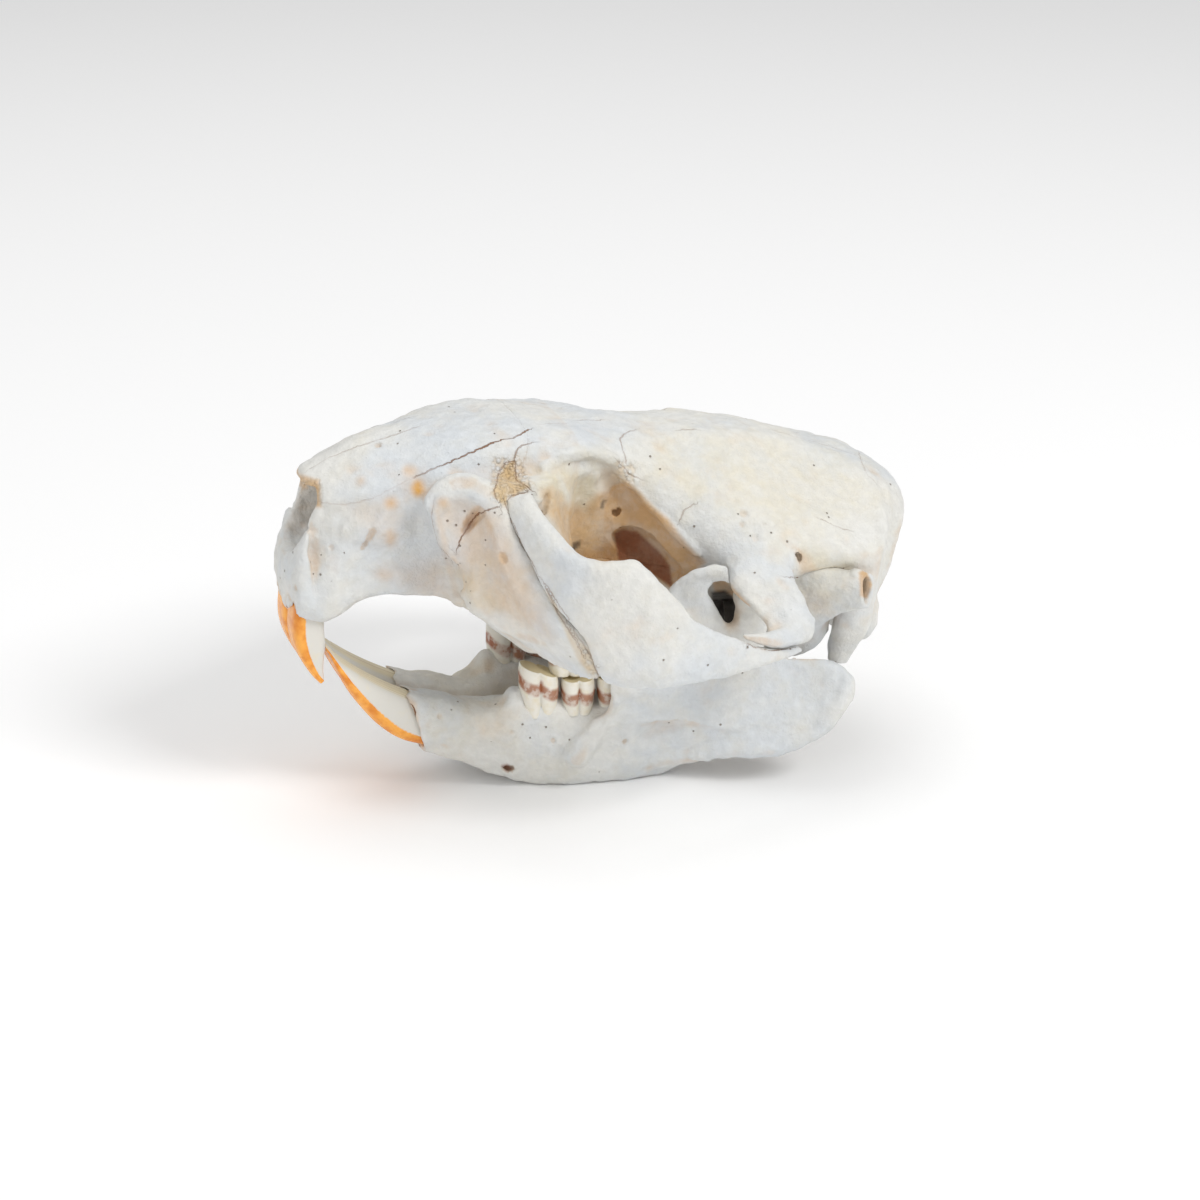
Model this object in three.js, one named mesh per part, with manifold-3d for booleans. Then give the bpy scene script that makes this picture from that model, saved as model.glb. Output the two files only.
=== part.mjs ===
// Beaver skull with its lower jaw, lying on a table, life size.
// Millimetres. +Z up, nose towards -X, the animal's left side faces -Y.
// Each bone is lofted from a few named stations, joined whole, then parted along its sutures.
import * as THREE from "three";
import Module from "manifold-3d";

const wasm = await Module();
wasm.setup();

// Driving dimensions
const SUTURE_GAP = 0.3;
const MIDLINE_HALF_GAP = SUTURE_GAP / 2;
const SOCKET_GAP = 0.3;
const JAW_JOINT_GAP = 0.4;
const MIDDLE_SHIFT_X = 1.3;
const TABLE_Z = 1.2;
const LEFT = -1;
const RIGHT = 1;
const WIDE = 60;
const FAR_ABOVE = 90;

// How finely the surfaces are drawn
const CORE_POINTS_AROUND = 24;
const CORE_STEPS = 2;
const BONE_POINTS_AROUND = 12;
const BONE_STEPS = 2;
const TOOTH_POINTS_AROUND = 12;
const SLOPE_STEP = 0.01;

// How square the section of a bone is: 2 is an ellipse, more is boxier
const ROUND_BONE = 2.3;
const SQUARE_BONE = 2.6;
const JAW_BODY_BONE = 3;
const CHEEK_TOOTH_CORNER = 0.6;

// Teeth
const CHEEK_TEETH = 4;
const LOWER_CROWN_TOP = 26.4;
const UPPER_CROWN_BOTTOM = 26.9;
const UPPER_ROOT_TOP = 40;
const LOWER_ROOT_BOTTOM = 10;
const TOOTH_GAP = 0.7;
const LOWER_TOOTH_LENGTHS = [8.3, 7.2, 7.0, 6.5];
const UPPER_TOOTH_LENGTHS = [7.8, 6.9, 6.6, 6.1];
const CHEEK_TOOTH_HALF_WIDTH = 3.7;
const CHEEK_TOOTH_RINGS = [[0, 0.92], [0.14, 1], [1, 0.9]];
const WIDTH_LOST_PER_TOOTH = 0.04;
const FIRST_TOOTH_TURN = 0.12;
const TURN_PER_TOOTH = 0.05;
const TOOTH_FOLD_DEPTH = 0.9;
const TOOTH_FOLD_SHARPNESS = 6;
const LOWER_ROW_FRONT_X = -21;
const UPPER_ROW_FRONT_X = -17.2;
const LOWER_ROW_Y = 10.2;
const UPPER_ROW_Y = 9.6;
const ROW_SPREAD_PER_MM = 0.19;

// Colours of dry bleached bone and rodent enamel
const BONE = { color: 0xe9e4d6, roughness: 0.62, metalness: 0 };
const WARM_BONE = { color: 0xe3d8bf, roughness: 0.66, metalness: 0 };
const ENAMEL = { color: 0xdf8f35, roughness: 0.38, metalness: 0 };

// Smallest helpers
const point = ([x, y, z]) => new THREE.Vector3(x, y, z);
const smooth = (points) => new THREE.CatmullRomCurve3(points, false, "catmullrom", 0.5);
const bend = (value, power) => Math.sign(value) * Math.abs(value) ** power;

// A closed skin over rows of points; each row runs round once and its two ends are capped.
function skin(rows) {
  const around = rows[0].length;
  const positions = rows.flatMap((row) => row.flatMap((p) => [p.x, p.y, p.z]));
  const index = [];
  for (let i = 0; i + 1 < rows.length; i++)
    for (let j = 0; j < around; j++) {
      const a = i * around + j;
      const b = i * around + ((j + 1) % around);
      index.push(a, b, b + around, a, b + around, a + around);
    }
  for (const last of [false, true]) {
    const row = rows[last ? rows.length - 1 : 0];
    const middle = row.reduce((sum, p) => sum.add(p), new THREE.Vector3()).divideScalar(around);
    const centre = positions.length / 3;
    const start = last ? (rows.length - 1) * around : 0;
    positions.push(middle.x, middle.y, middle.z);
    for (let j = 0; j < around; j++) {
      const a = start + j;
      const b = start + ((j + 1) % around);
      index.push(...(last ? [a, b, centre] : [b, a, centre]));
    }
  }
  const geometry = new THREE.BufferGeometry();
  geometry.setAttribute("position", new THREE.Float32BufferAttribute(positions, 3));
  geometry.setIndex(index);
  return geometry;
}

// Signed volume of a closed geometry, used to turn its faces outward.
function signedVolume(geometry) {
  const p = geometry.getAttribute("position");
  const index = geometry.index.array;
  const corners = [new THREE.Vector3(), new THREE.Vector3(), new THREE.Vector3()];
  let volume = 0;
  for (let i = 0; i < index.length; i += 3) {
    corners.forEach((corner, k) => corner.fromBufferAttribute(p, index[i + k]));
    volume += corners[0].dot(corners[1].clone().cross(corners[2])) / 6;
  }
  return volume;
}

// A closed geometry as a solid.
function solid(geometry) {
  const triVerts = new Uint32Array(geometry.index.array);
  if (signedVolume(geometry) < 0)
    for (let i = 0; i < triVerts.length; i += 3)
      [triVerts[i + 1], triVerts[i + 2]] = [triVerts[i + 2], triVerts[i + 1]];
  return new wasm.Manifold(
    new wasm.Mesh({
      numProp: 3,
      vertProperties: new Float32Array(geometry.getAttribute("position").array),
      triVerts,
    }),
  );
}

// The same solid seen in the mirror of the middle plane.
function mirrored(build, side) {
  const geometry = build();
  const p = geometry.getAttribute("position");
  for (let i = 0; i < p.count; i++) p.setY(i, p.getY(i) * side);
  return solid(geometry);
}

// A bone shaft or plate. Each station is [upper edge, lower edge, half thickness];
// its section is a rounded oval across the line between the two edges.
function shaft(stations, { power = ROUND_BONE, grow = 0, steps = BONE_STEPS } = {}) {
  const around = BONE_POINTS_AROUND;
  const upper = smooth(stations.map((s) => point(s[0])));
  const lower = smooth(stations.map((s) => point(s[1])));
  const thickness = smooth(stations.map((s) => new THREE.Vector3(s[2], 0, 0)));
  const count = (stations.length - 1) * steps;
  const rows = [];
  for (let i = 0; i <= count; i++) {
    const t = i / count;
    const u = upper.getPoint(t);
    const l = lower.getPoint(t);
    const middle = u.clone().add(l).multiplyScalar(0.5);
    const behind = Math.max(0, t - SLOPE_STEP);
    const ahead = Math.min(1, t + SLOPE_STEP);
    const before = upper.getPoint(behind).add(lower.getPoint(behind));
    const forward = upper.getPoint(ahead).add(lower.getPoint(ahead)).sub(before);
    const half = u.sub(l).multiplyScalar(0.5);
    const sideways = half.clone().cross(forward).normalize();
    half.setLength(half.length() + grow);
    sideways.multiplyScalar(thickness.getPoint(t).x + grow);
    if (grow && (i === 0 || i === count))
      middle.addScaledVector(forward.normalize(), i === 0 ? -grow : grow);
    rows.push(ovalRow(middle, half, sideways, power, around));
  }
  return skin(rows);
}

// One oval row of points about a middle, reaching along two half axes.
function ovalRow(middle, half, sideways, power, around) {
  const row = [];
  for (let j = 0; j < around; j++) {
    const angle = (2 * Math.PI * j) / around;
    row.push(
      middle
        .clone()
        .addScaledVector(half, bend(Math.sin(angle), 2 / power))
        .addScaledVector(sideways, bend(Math.cos(angle), 2 / power)),
    );
  }
  return row;
}

// The two-sided middle body of the skull. Each station is
// [x, roof z, shoulder y and z, widest y and z, low edge y and z, underside z].
function core(stations) {
  const rings = stations.map(([x, roof, ys, zs, ym, zm, yb, zb, under]) => {
    const half = [[ys, zs], [ym, zm], [yb, zb]];
    return [
      [x, 0, roof],
      ...half.map(([y, z]) => [x, y, z]),
      [x, 0, under],
      ...half.reverse().map(([y, z]) => [x, -y, z]),
    ].map(point);
  });
  const lines = rings[0].map((_, k) => smooth(rings.map((ring) => ring[k])));
  const count = (stations.length - 1) * CORE_STEPS;
  const rows = [];
  for (let i = 0; i <= count; i++) {
    const round = new THREE.CatmullRomCurve3(lines.map((line) => line.getPoint(i / count)), true);
    rows.push(round.getPoints(CORE_POINTS_AROUND).slice(0, CORE_POINTS_AROUND));
  }
  return skin(rows);
}

// A block between two side-view outlines drawn in x and z, as wide as asked.
function sideBlock(outline, y0, y1) {
  const shape = new THREE.Shape(outline.map(([x, z]) => new THREE.Vector2(x, z)));
  const geometry = new THREE.ExtrudeGeometry(shape, { depth: y1 - y0, bevelEnabled: false });
  geometry.rotateX(Math.PI / 2).translate(0, y1, 0);
  return solid(welded(geometry));
}

// A box given by two corners.
function box([x0, y0, z0], [x1, y1, z1]) {
  const geometry = new THREE.BoxGeometry(x1 - x0, y1 - y0, z1 - z0);
  geometry.translate((x0 + x1) / 2, (y0 + y1) / 2, (z0 + z1) / 2);
  return solid(welded(geometry));
}

// The geometry with equal corners made one.
function welded(geometry) {
  const p = geometry.getAttribute("position");
  const seen = new Map();
  const positions = [];
  const index = [];
  const order = geometry.index ? [...geometry.index.array] : [...Array(p.count).keys()];
  for (const i of order) {
    const key = [p.getX(i), p.getY(i), p.getZ(i)].map((v) => v.toFixed(4)).join();
    if (!seen.has(key)) {
      seen.set(key, positions.length / 3);
      positions.push(p.getX(i), p.getY(i), p.getZ(i));
    }
    index.push(seen.get(key));
  }
  const out = new THREE.BufferGeometry();
  out.setAttribute("position", new THREE.Float32BufferAttribute(positions, 3));
  out.setIndex(index);
  return out;
}

const join = (...solids) => solids.flat().reduce((a, b) => a.add(b));
const cut = (body, ...tools) => tools.flat().reduce((a, b) => a.subtract(b), body);
const both = (build) => [LEFT, RIGHT].map((side) => mirrored(build, side));

// The largest closed surface of a solid.
function largest(body) {
  return body.decompose().reduce((a, b) => (b.volume() > a.volume() ? b : a));
}

// Snout and braincase
const SNOUT = [
  [-66.5, 51.6, 2.6, 51.2, 5, 47.4, 4.2, 43.4, 43],
  [-65.2, 56, 5.6, 55.4, 8.6, 49, 8.2, 42.6, 41.2],
  [-63, 60.6, 7, 60, 9.8, 52, 9.3, 42.4, 40.6],
  [-61.2, 70.2, 8, 67.4, 10, 56.3, 9.5, 42.6, 40.2],
  [-57, 72.6, 10.8, 67, 11.4, 57, 9.6, 42.8, 41],
  [-50, 75.8, 12.6, 68.4, 13, 58.5, 9.4, 46.2, 44.8],
  [-42, 77, 13, 71.2, 14.2, 60, 9.8, 45.6, 44.2],
  [-34, 78.2, 13.4, 74.6, 15.4, 61, 11, 43.8, 42.2],
  [-26, 78.2, 14, 75.4, 15.4, 61, 13, 38, 37],
  [-18, 77.2, 13.8, 74.2, 13.6, 60, 15, 33, 33.6],
  [-12, 76, 12, 72.4, 12, 60, 14, 34, 34],
];
const BRAINCASE = [
  [-24, 77.8, 13, 75, 13, 64, 10, 50, 44],
  [-15, 76.8, 14.8, 73.4, 12.4, 64, 9.4, 50, 42],
  [-8, 76, 14.8, 73.6, 11.8, 64, 8.6, 50, 41],
  [0, 75, 13.2, 70.8, 12.6, 63, 8.6, 48, 40],
  [5, 74.2, 11.5, 70.6, 16.5, 60, 11, 45, 38],
  [11, 73.2, 9.5, 71, 20.6, 56.4, 13, 41, 36.5],
  [18, 72.4, 8.5, 70.9, 24.4, 53.6, 13.6, 38.5, 35.5],
  [27, 71, 8, 69, 26.2, 52, 14.5, 37, 34],
  [36, 68.4, 9, 65.6, 26, 51, 16, 35, 32],
  [45, 65.2, 11, 62.2, 26, 49.5, 19, 34, 29],
  [52, 63.4, 14.6, 61, 26.6, 47.5, 20, 32, 26.5],
  [54.8, 62, 14.4, 59, 24.2, 46.6, 16.6, 31, 25.8],
  [58.6, 59.4, 12.8, 56.6, 17.4, 47.6, 11.4, 39.4, 36],
  [61.8, 56.8, 9.6, 54.6, 11.6, 50.6, 7, 46.2, 44.8],
  [63.9, 53.2, 3.4, 52.6, 4.4, 51.4, 2.8, 50, 49.6],
];

// Cheek plate of the maxilla, from the brow down to the tooth row
const CHEEK_PLATE = [
  [[-37.6, 13.5, 70.6], [-26.6, 21.5, 69.6], 1.6],
  [[-39.8, 17, 65.8], [-26.4, 26.2, 64.8], 2.2],
  [[-38.8, 18.6, 58.4], [-24.2, 30.8, 58.6], 2.2],
  [[-36.4, 19.6, 51], [-21.8, 36, 51.4], 2.2],
  [[-34, 20, 45.6], [-17.9, 40, 45.8], 2.3],
  [[-25, 21, 40.6], [-15.4, 41.4, 41.2], 2.4],
  [[-20.5, 18.5, 35.8], [-14.4, 42, 37], 2],
];
const CHEEK_ROOT = [
  [[-34, 12, 69.5], [-22, 20, 69.5], 2.4],
  [[-33, 12.6, 60], [-21, 25, 60], 3.4],
  [[-31, 13, 50], [-19.5, 30, 50], 3.4],
  [[-26, 12, 41], [-16.5, 33, 42.5], 3.4],
  [[-20, 11, 33.5], [-13, 24, 37], 2.6],
];
const TOOTH_BED = [
  [[-19.5, 11, 45], [-18, 10.6, 31.6], 5],
  [[-10, 10.6, 47], [-10, 11, 31], 5.2],
  [[0, 11, 47], [0, 12.6, 31], 5.2],
  [[9, 11.6, 46], [9, 14, 31.2], 5],
  [[14.5, 11, 42], [14.5, 14, 34.6], 3],
];

// Arch of the cheek
const JUGAL = [
  [[-22.6, 25, 69.4], [-27, 24, 67.8], 1.2],
  [[-22.4, 30, 67.6], [-26.6, 27, 64], 1.7],
  [[-20.5, 35.4, 64], [-24.2, 31, 58.4], 2.2],
  [[-17, 41, 61.4], [-21.8, 36.2, 51.4], 2.4],
  [[-12, 44.4, 61.4], [-17.3, 40.4, 45.2], 2.5],
  [[-8.2, 45.4, 61.1], [-13.6, 42.6, 36.4], 2.5],
  [[-4.8, 46, 57.4], [-6.8, 46.8, 35.8], 2.5],
  [[-0.3, 46.2, 52.6], [0.5, 47.4, 35.8], 2.4],
  [[2.8, 46.2, 48.4], [6.4, 46.8, 35.7], 2.3],
  [[6.8, 45.8, 45.4], [12.2, 46, 36], 2.1],
  [[13.6, 44.8, 41.8], [17.9, 44.8, 36.3], 1.9],
  [[20.7, 43.2, 38.6], [22.7, 43, 36.2], 1.5],
  [[26.4, 41.2, 37.6], [26.8, 41.2, 36.4], 1],
];
const SQUAMOSAL_ROOT = [
  [[17, 20, 52], [34, 20, 52], 4.4],
  [[17.8, 26, 49.4], [30.5, 27, 50.6], 3.2],
  [[17.6, 31, 47.4], [28, 31, 48.8], 2.6],
  [[18.1, 35, 45], [28.2, 35.2, 46], 2.2],
  [[18.8, 38.4, 42.4], [29.6, 38.2, 42.6], 2],
  [[20, 40.6, 40.4], [29.4, 39.8, 39.6], 1.6],
];
const SQUAMOSAL_TONGUE = [
  [[30.2, 38.6, 42.4], [28.6, 39.2, 37.6], 1.6],
  [[25, 41, 42.6], [24.8, 41.4, 38.2], 1.9],
  [[19, 43.2, 42.4], [19.4, 43.6, 39.2], 1.7],
  [[12.4, 44.9, 43.4], [13.2, 45, 42.4], 1],
];

// Under and behind the braincase
const EAR_BULB = [
  [[26.5, 13, 36], [26.5, 13, 31.5], 2.4],
  [[29.5, 14, 38], [29.5, 14, 27], 5.4],
  [[34.5, 15.5, 39], [34.5, 15.5, 24.8], 7],
  [[39.5, 17, 38.5], [39.5, 17, 26.2], 6.4],
  [[43, 18, 36.5], [43, 18, 30], 3.4],
];
const EAR_TUBE = [
  [[31.6, 18, 45], [34, 17, 33], 4],
  [[36, 23.6, 47.4], [38, 23, 35.4], 3.8],
  [[40.6, 27.8, 47.6], [41.6, 27.4, 38.4], 3.2],
  [[44.2, 30.6, 47.2], [44.6, 30.8, 41.2], 2.4],
];
const EAR_HOLE = [
  [[38.6, 24.4, 43], [39.4, 24.6, 40.4], 0.9],
  [[42, 28, 45.4], [42.6, 28.2, 42], 1.3],
  [[46.4, 32.8, 47], [46.8, 33, 42.6], 1.5],
];
const MASTOID = [
  [[41.5, 21, 46], [54, 21, 46], 5],
  [[42.6, 24, 40], [52.4, 24, 40], 3.6],
  [[42.4, 22.8, 34], [51, 22.6, 34], 3],
  [[42.2, 20.4, 28], [49, 20, 28], 2.2],
  [[42.6, 19.2, 23.4], [46.8, 19, 22.4], 1.2],
];
const CONDYLE = [
  [[51.5, 6, 36], [46.5, 6, 28], 3],
  [[56, 8.2, 34.5], [50, 8, 24.5], 3.6],
  [[58.2, 9, 30.5], [53.4, 9, 22.6], 3],
  [[58, 9.4, 26.6], [55.4, 9.4, 23], 1.6],
];
const PTERYGOID = [
  [[11, 8, 42], [11, 7.4, 32.6], 1.8],
  [[17, 7.4, 40], [17, 7.6, 29.4], 1.4],
  [[22.5, 7.4, 38.6], [23, 8.2, 30.2], 1.2],
  [[28.6, 8, 38], [29.4, 8.4, 33.4], 1],
];
const SKULL_BASE = [
  [[8, 0, 42], [8, 0, 36.4], 7],
  [[20, 0, 41], [20, 0, 34.4], 6],
  [[36, 0, 38], [36, 0, 29.6], 7.4],
  [[50, 0, 34], [50, 0, 25.6], 8.6],
  [[57, 0, 30.5], [57, 0, 26], 8],
];
const NERVE_HOLE = [
  [[44, 0, 37], [44, 0, 31], 4],
  [[54, 0, 37.6], [54, 0, 29.6], 6],
  [[66, 0, 41], [66, 0, 28], 7.4],
];

// Lower jaw
const JAW_BODY = [
  [[-43.6, 4.9, 23.8], [-39.9, 5.1, 9.9], 5],
  [[-36.6, 4.9, 21.4], [-34.6, 5.1, 7.6], 5.2],
  [[-30, 5.2, 19.2], [-28, 5.2, 4.6], 5.3],
  [[-24.6, 7.4, 19.2], [-22, 6, 2.4], 5.6],
  [[-18.6, 10.2, 20.2], [-16, 7.8, 0.9], 5.7],
  [[-10, 11.8, 20], [-8.6, 9.8, 0.6], 5.9],
  [[-2, 13.2, 20], [-0.2, 11, 0.7], 6],
  [[6, 14.8, 20.6], [8.4, 11.2, 1], 5.2],
  [[13, 17.4, 21], [14.4, 14.6, 5.4], 3.6],
];
const JAW_ANGLE = [
  [[-2, 18.6, 22], [1.4, 12, 2], 3.2],
  [[6, 20.6, 26], [9, 13.6, 3], 3.2],
  [[14, 23, 29], [14.8, 19.4, 6.4], 2.9],
  [[24, 25.4, 30.4], [23.8, 25.4, 7], 2.6],
  [[33, 27.6, 29.8], [33, 28.6, 10], 2.3],
  [[39.8, 29.6, 27.6], [39.4, 30.8, 15], 2],
  [[43.2, 30.8, 24.4], [42.8, 31, 19.4], 1.2],
];
const CORONOID = [
  [[-4.5, 19.4, 15], [24, 24.4, 15], 3],
  [[-1.6, 21, 26], [25.4, 24.8, 27], 2.6],
  [[2.4, 22.6, 36.5], [19, 25.4, 36], 2],
  [[5.8, 24, 45], [14, 26.2, 43.6], 1.6],
  [[9.4, 25.6, 49.6], [14.4, 26.8, 47.8], 1.1],
  [[13, 26.8, 51], [16.2, 27.4, 49.8], 0.7],
];
const JAW_CONDYLE = [
  [[15.6, 24.6, 28], [26.4, 25, 27], 2.6],
  [[18.2, 25, 35], [26.2, 25, 34], 2.4],
  [[19.8, 24.8, 39.4], [27.4, 24.6, 38.8], 2.8],
  [[19.6, 24.2, 42.4], [28, 24, 41.8], 3.4],
  [[21.2, 24, 44.4], [26.6, 24, 44], 2.2],
];
const MASSETER_RIDGE = [
  [[-15, 9.4, 8], [-11, 10, 3.4], 3.2],
  [[-11, 12.2, 12], [-6.5, 12.5, 5.4], 3.4],
  [[-7, 15.4, 16.4], [-1, 15.4, 8.4], 3.4],
  [[-4.8, 18, 21], [3, 18.4, 14], 3],
  [[-3, 19.8, 26], [6, 20.6, 20], 2.3],
  [[0, 21.4, 32], [8, 22.6, 27], 1.6],
];

// Front teeth
const UPPER_INCISOR = [
  [[-63.4, 4.2, 51], [-57, 4.2, 49.4], 3.2],
  [[-65.6, 4.2, 47], [-58.6, 4.2, 45.8], 3.7],
  [[-66.3, 4.2, 40.6], [-59.2, 4.2, 40.2], 3.8],
  [[-65.5, 4.2, 36.6], [-59.2, 4.2, 36], 3.8],
  [[-64, 4.1, 32.5], [-59.7, 4.1, 33], 3.7],
  [[-62, 4, 28.8], [-59.7, 4, 30], 3.6],
  [[-60.3, 4, 26.8], [-59.3, 4, 27.8], 3.3],
];
const LOWER_INCISOR = [
  [[-59, 4.3, 35.6], [-58.7, 4.3, 34.4], 3.2],
  [[-56.6, 4.4, 32.4], [-57.3, 4.4, 30.4], 3.6],
  [[-53.7, 4.6, 30], [-55.3, 4.6, 26], 3.8],
  [[-50.4, 4.8, 27.6], [-52.8, 4.8, 21.9], 3.9],
  [[-46.6, 5, 25.2], [-48.9, 5, 16.9], 3.9],
  [[-42.6, 5.1, 23], [-44.2, 5.1, 13.1], 3.9],
  [[-36, 5.1, 19.6], [-37.6, 5.1, 10.6], 3.8],
  [[-29, 5.2, 15.6], [-30, 5.2, 8.4], 3],
];

// A row of cheek teeth on one side: folded blocks with their roots sunk in the bone.
function cheekTeeth(side, lengths, frontX, firstY, crownEnd, rootEnd) {
  let x = frontX;
  const teeth = [];
  for (let i = 0; i < CHEEK_TEETH; i++) {
    const length = lengths[i];
    const middleX = x + length / 2;
    const middleY = firstY + (middleX - frontX) * ROW_SPREAD_PER_MM;
    const turn = FIRST_TOOTH_TURN + TURN_PER_TOOTH * i;
    const width = CHEEK_TOOTH_HALF_WIDTH * (1 - WIDTH_LOST_PER_TOOTH * i);
    const rows = [];
    for (const [share, scale] of CHEEK_TOOTH_RINGS) {
      const z = crownEnd + (rootEnd - crownEnd) * share;
      const row = [];
      for (let j = 0; j < TOOTH_POINTS_AROUND; j++) {
        const angle = (2 * Math.PI * j) / TOOTH_POINTS_AROUND;
        const inFold = Math.max(0, Math.cos(2 * angle - Math.PI)) ** TOOTH_FOLD_SHARPNESS;
        const fold = 1 - (TOOTH_FOLD_DEPTH / width) * inFold;
        const a = bend(Math.cos(angle), CHEEK_TOOTH_CORNER) * ((length - TOOTH_GAP) / 2) * scale;
        const b = bend(Math.sin(angle), CHEEK_TOOTH_CORNER) * width * scale * fold;
        row.push(
          new THREE.Vector3(
            middleX + a * Math.cos(turn) - b * Math.sin(turn),
            middleY + a * Math.sin(turn) + b * Math.cos(turn),
            z,
          ),
        );
      }
      rows.push(row);
    }
    teeth.push(mirrored(() => skin(rows), side));
    x += length;
  }
  return teeth;
}

// Openings
const NOSTRIL = [
  [[-70, 0, 67.8], [-70, 0, 52.6], 7.6],
  [[-62, 0, 67.8], [-63, 0, 52.8], 7.2],
  [[-56, 0, 67.6], [-57, 0, 54], 6.2],
  [[-48, 0, 65.6], [-49, 0, 58], 4.4],
];
const CHEEK_CANAL = [
  [[-44, 17.4, 56], [-43, 17.4, 49], 1.3],
  [[-37, 17.6, 56], [-36, 17.6, 49], 1.4],
  [[-31, 17.2, 55], [-30, 17.2, 50], 1.2],
];

// Hollow behind the eye, between the brow and the wall of the braincase
const TEMPLE_HOLLOW = [
  [[-1, 13.4, 68], [-5, 13.4, 68], 2.2],
  [[2, 14.6, 65.6], [-6, 14.6, 65.6], 4.6],
  [[6.5, 18.6, 59.7], [-7, 18.6, 59.7], 8.4],
  [[9.8, 22.8, 54.6], [-7.6, 22.6, 54.6], 11.6],
  [[12.8, 26.6, 51.5], [-8, 26.6, 51.5], 14.6],
  [[15, 31, 47], [-7, 31, 47], 16],
];

// Outlines of the sutures
const FACE_SIDE_OUTLINE = [
  [-90, 100],
  [-19, 100],
  [-19, 76],
  [-22.5, 69],
  [-20.5, 60],
  [-13, 48.4],
  [12, 45],
  [18.4, 37],
  [18.4, 10],
  [-90, 10],
];
const SNOUT_SIDE_OUTLINE = [
  [-90, 100],
  [-41, 100],
  [-42, 68],
  [-43, 56],
  [-38, 44],
  [-38, 10],
  [-90, 10],
];
const FRONTAL_SIDE_OUTLINE = [
  [-90, 100],
  [5, 100],
  [3, 72],
  [0.5, 64],
  [3, 54],
  [4, 30],
  [-90, 30],
];
const OCCIPUT_SIDE_OUTLINE = [
  [48, 100],
  [90, 100],
  [90, 0],
  [49, 0],
  [51, 36],
  [52.6, 62],
];

// The outline moved out by a gap at every corner
function widened(outline, gap) {
  const turn = signedArea(outline) > 0 ? 1 : -1;
  return outline.map((p, i) => {
    const before = outline[(i + outline.length - 1) % outline.length];
    const after = outline[(i + 1) % outline.length];
    const out = [0, 0];
    for (const [a, b] of [[before, p], [p, after]]) {
      const run = Math.hypot(b[0] - a[0], b[1] - a[1]);
      const normal = [(b[1] - a[1]) / run, -(b[0] - a[0]) / run];
      out[0] += normal[0];
      out[1] += normal[1];
    }
    const scale = (turn * gap * 2) / (out[0] ** 2 + out[1] ** 2);
    return [p[0] + out[0] * scale, p[1] + out[1] * scale];
  });
}

// Area of a flat outline, positive when it runs anticlockwise
function signedArea(outline) {
  return outline.reduce((sum, p, i) => {
    const q = outline[(i + 1) % outline.length];
    return sum + (p[0] * q[1] - q[0] * p[1]) / 2;
  }, 0);
}

// The nasal bones' bed: a long block down to the suture beside them
const NASAL_BED_CROWN = 0.6;
const NASAL_BED = [
  [-70, 8.4, 62],
  [-61, 9.4, 65.4],
  [-54, 11.6, 67.2],
  [-46, 12.4, 69.4],
  [-38, 12.6, 72.4],
  [-30, 11.4, 74.4],
  [-23, 9, 75],
  [-18.6, 6.6, 75],
];
function nasalBed(grow) {
  const rows = NASAL_BED.map(([x, y, z], i) => {
    const end = i === NASAL_BED.length - 1 ? grow : 0;
    const ring = [
      [x + end, -y - grow, FAR_ABOVE],
      [x + end, y + grow, FAR_ABOVE],
      [x + end, y + grow, z - grow],
      [x + end, 0, z + NASAL_BED_CROWN - grow],
      [x + end, -y - grow, z - grow],
    ];
    return ring.map(point);
  });
  return solid(skin(rows));
}

const block = (outline, gap = 0) => sideBlock(gap ? widened(outline, gap) : outline, -WIDE, WIDE);

// Both rows of cheek teeth on one side
const upperTeeth = (side) =>
  cheekTeeth(side, UPPER_TOOTH_LENGTHS, UPPER_ROW_FRONT_X, UPPER_ROW_Y, UPPER_CROWN_BOTTOM, UPPER_ROOT_TOP);
const lowerTeeth = (side) =>
  cheekTeeth(side, LOWER_TOOTH_LENGTHS, LOWER_ROW_FRONT_X, LOWER_ROW_Y, LOWER_CROWN_TOP, LOWER_ROOT_BOTTOM);

// The upper skull whole, with its openings and sockets
const upperBody = join(
  solid(core(SNOUT)),
  solid(core(BRAINCASE)),
  solid(shaft(SKULL_BASE, { power: SQUARE_BONE, steps: 1 })),
  [CHEEK_PLATE, SQUAMOSAL_ROOT, SQUAMOSAL_TONGUE].flatMap((stations) => both(() => shaft(stations))),
  [CHEEK_ROOT, TOOTH_BED, MASTOID, CONDYLE, PTERYGOID].flatMap((stations) =>
    both(() => shaft(stations, { steps: 1 })),
  ),
  [LEFT, RIGHT].flatMap(upperTeeth),
);
const upper = cut(
  upperBody,
  solid(shaft(NOSTRIL, { power: SQUARE_BONE, steps: 1 })),
  solid(shaft(NERVE_HOLE, { steps: 1 })),
  both(() => shaft(CHEEK_CANAL, { steps: 1 })),
  both(() => shaft(TEMPLE_HOLLOW, { power: SQUARE_BONE, steps: 1 })),
  both(() => shaft(UPPER_INCISOR, { grow: SOCKET_GAP, power: SQUARE_BONE, steps: 1 })),
  both(() => shaft(EAR_BULB, { grow: SUTURE_GAP, steps: 1 })),
  both(() => shaft(EAR_TUBE, { grow: SUTURE_GAP, steps: 1 })),
  both(() => shaft(JAW_CONDYLE, { grow: JAW_JOINT_GAP, steps: 1 })),
);

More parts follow.
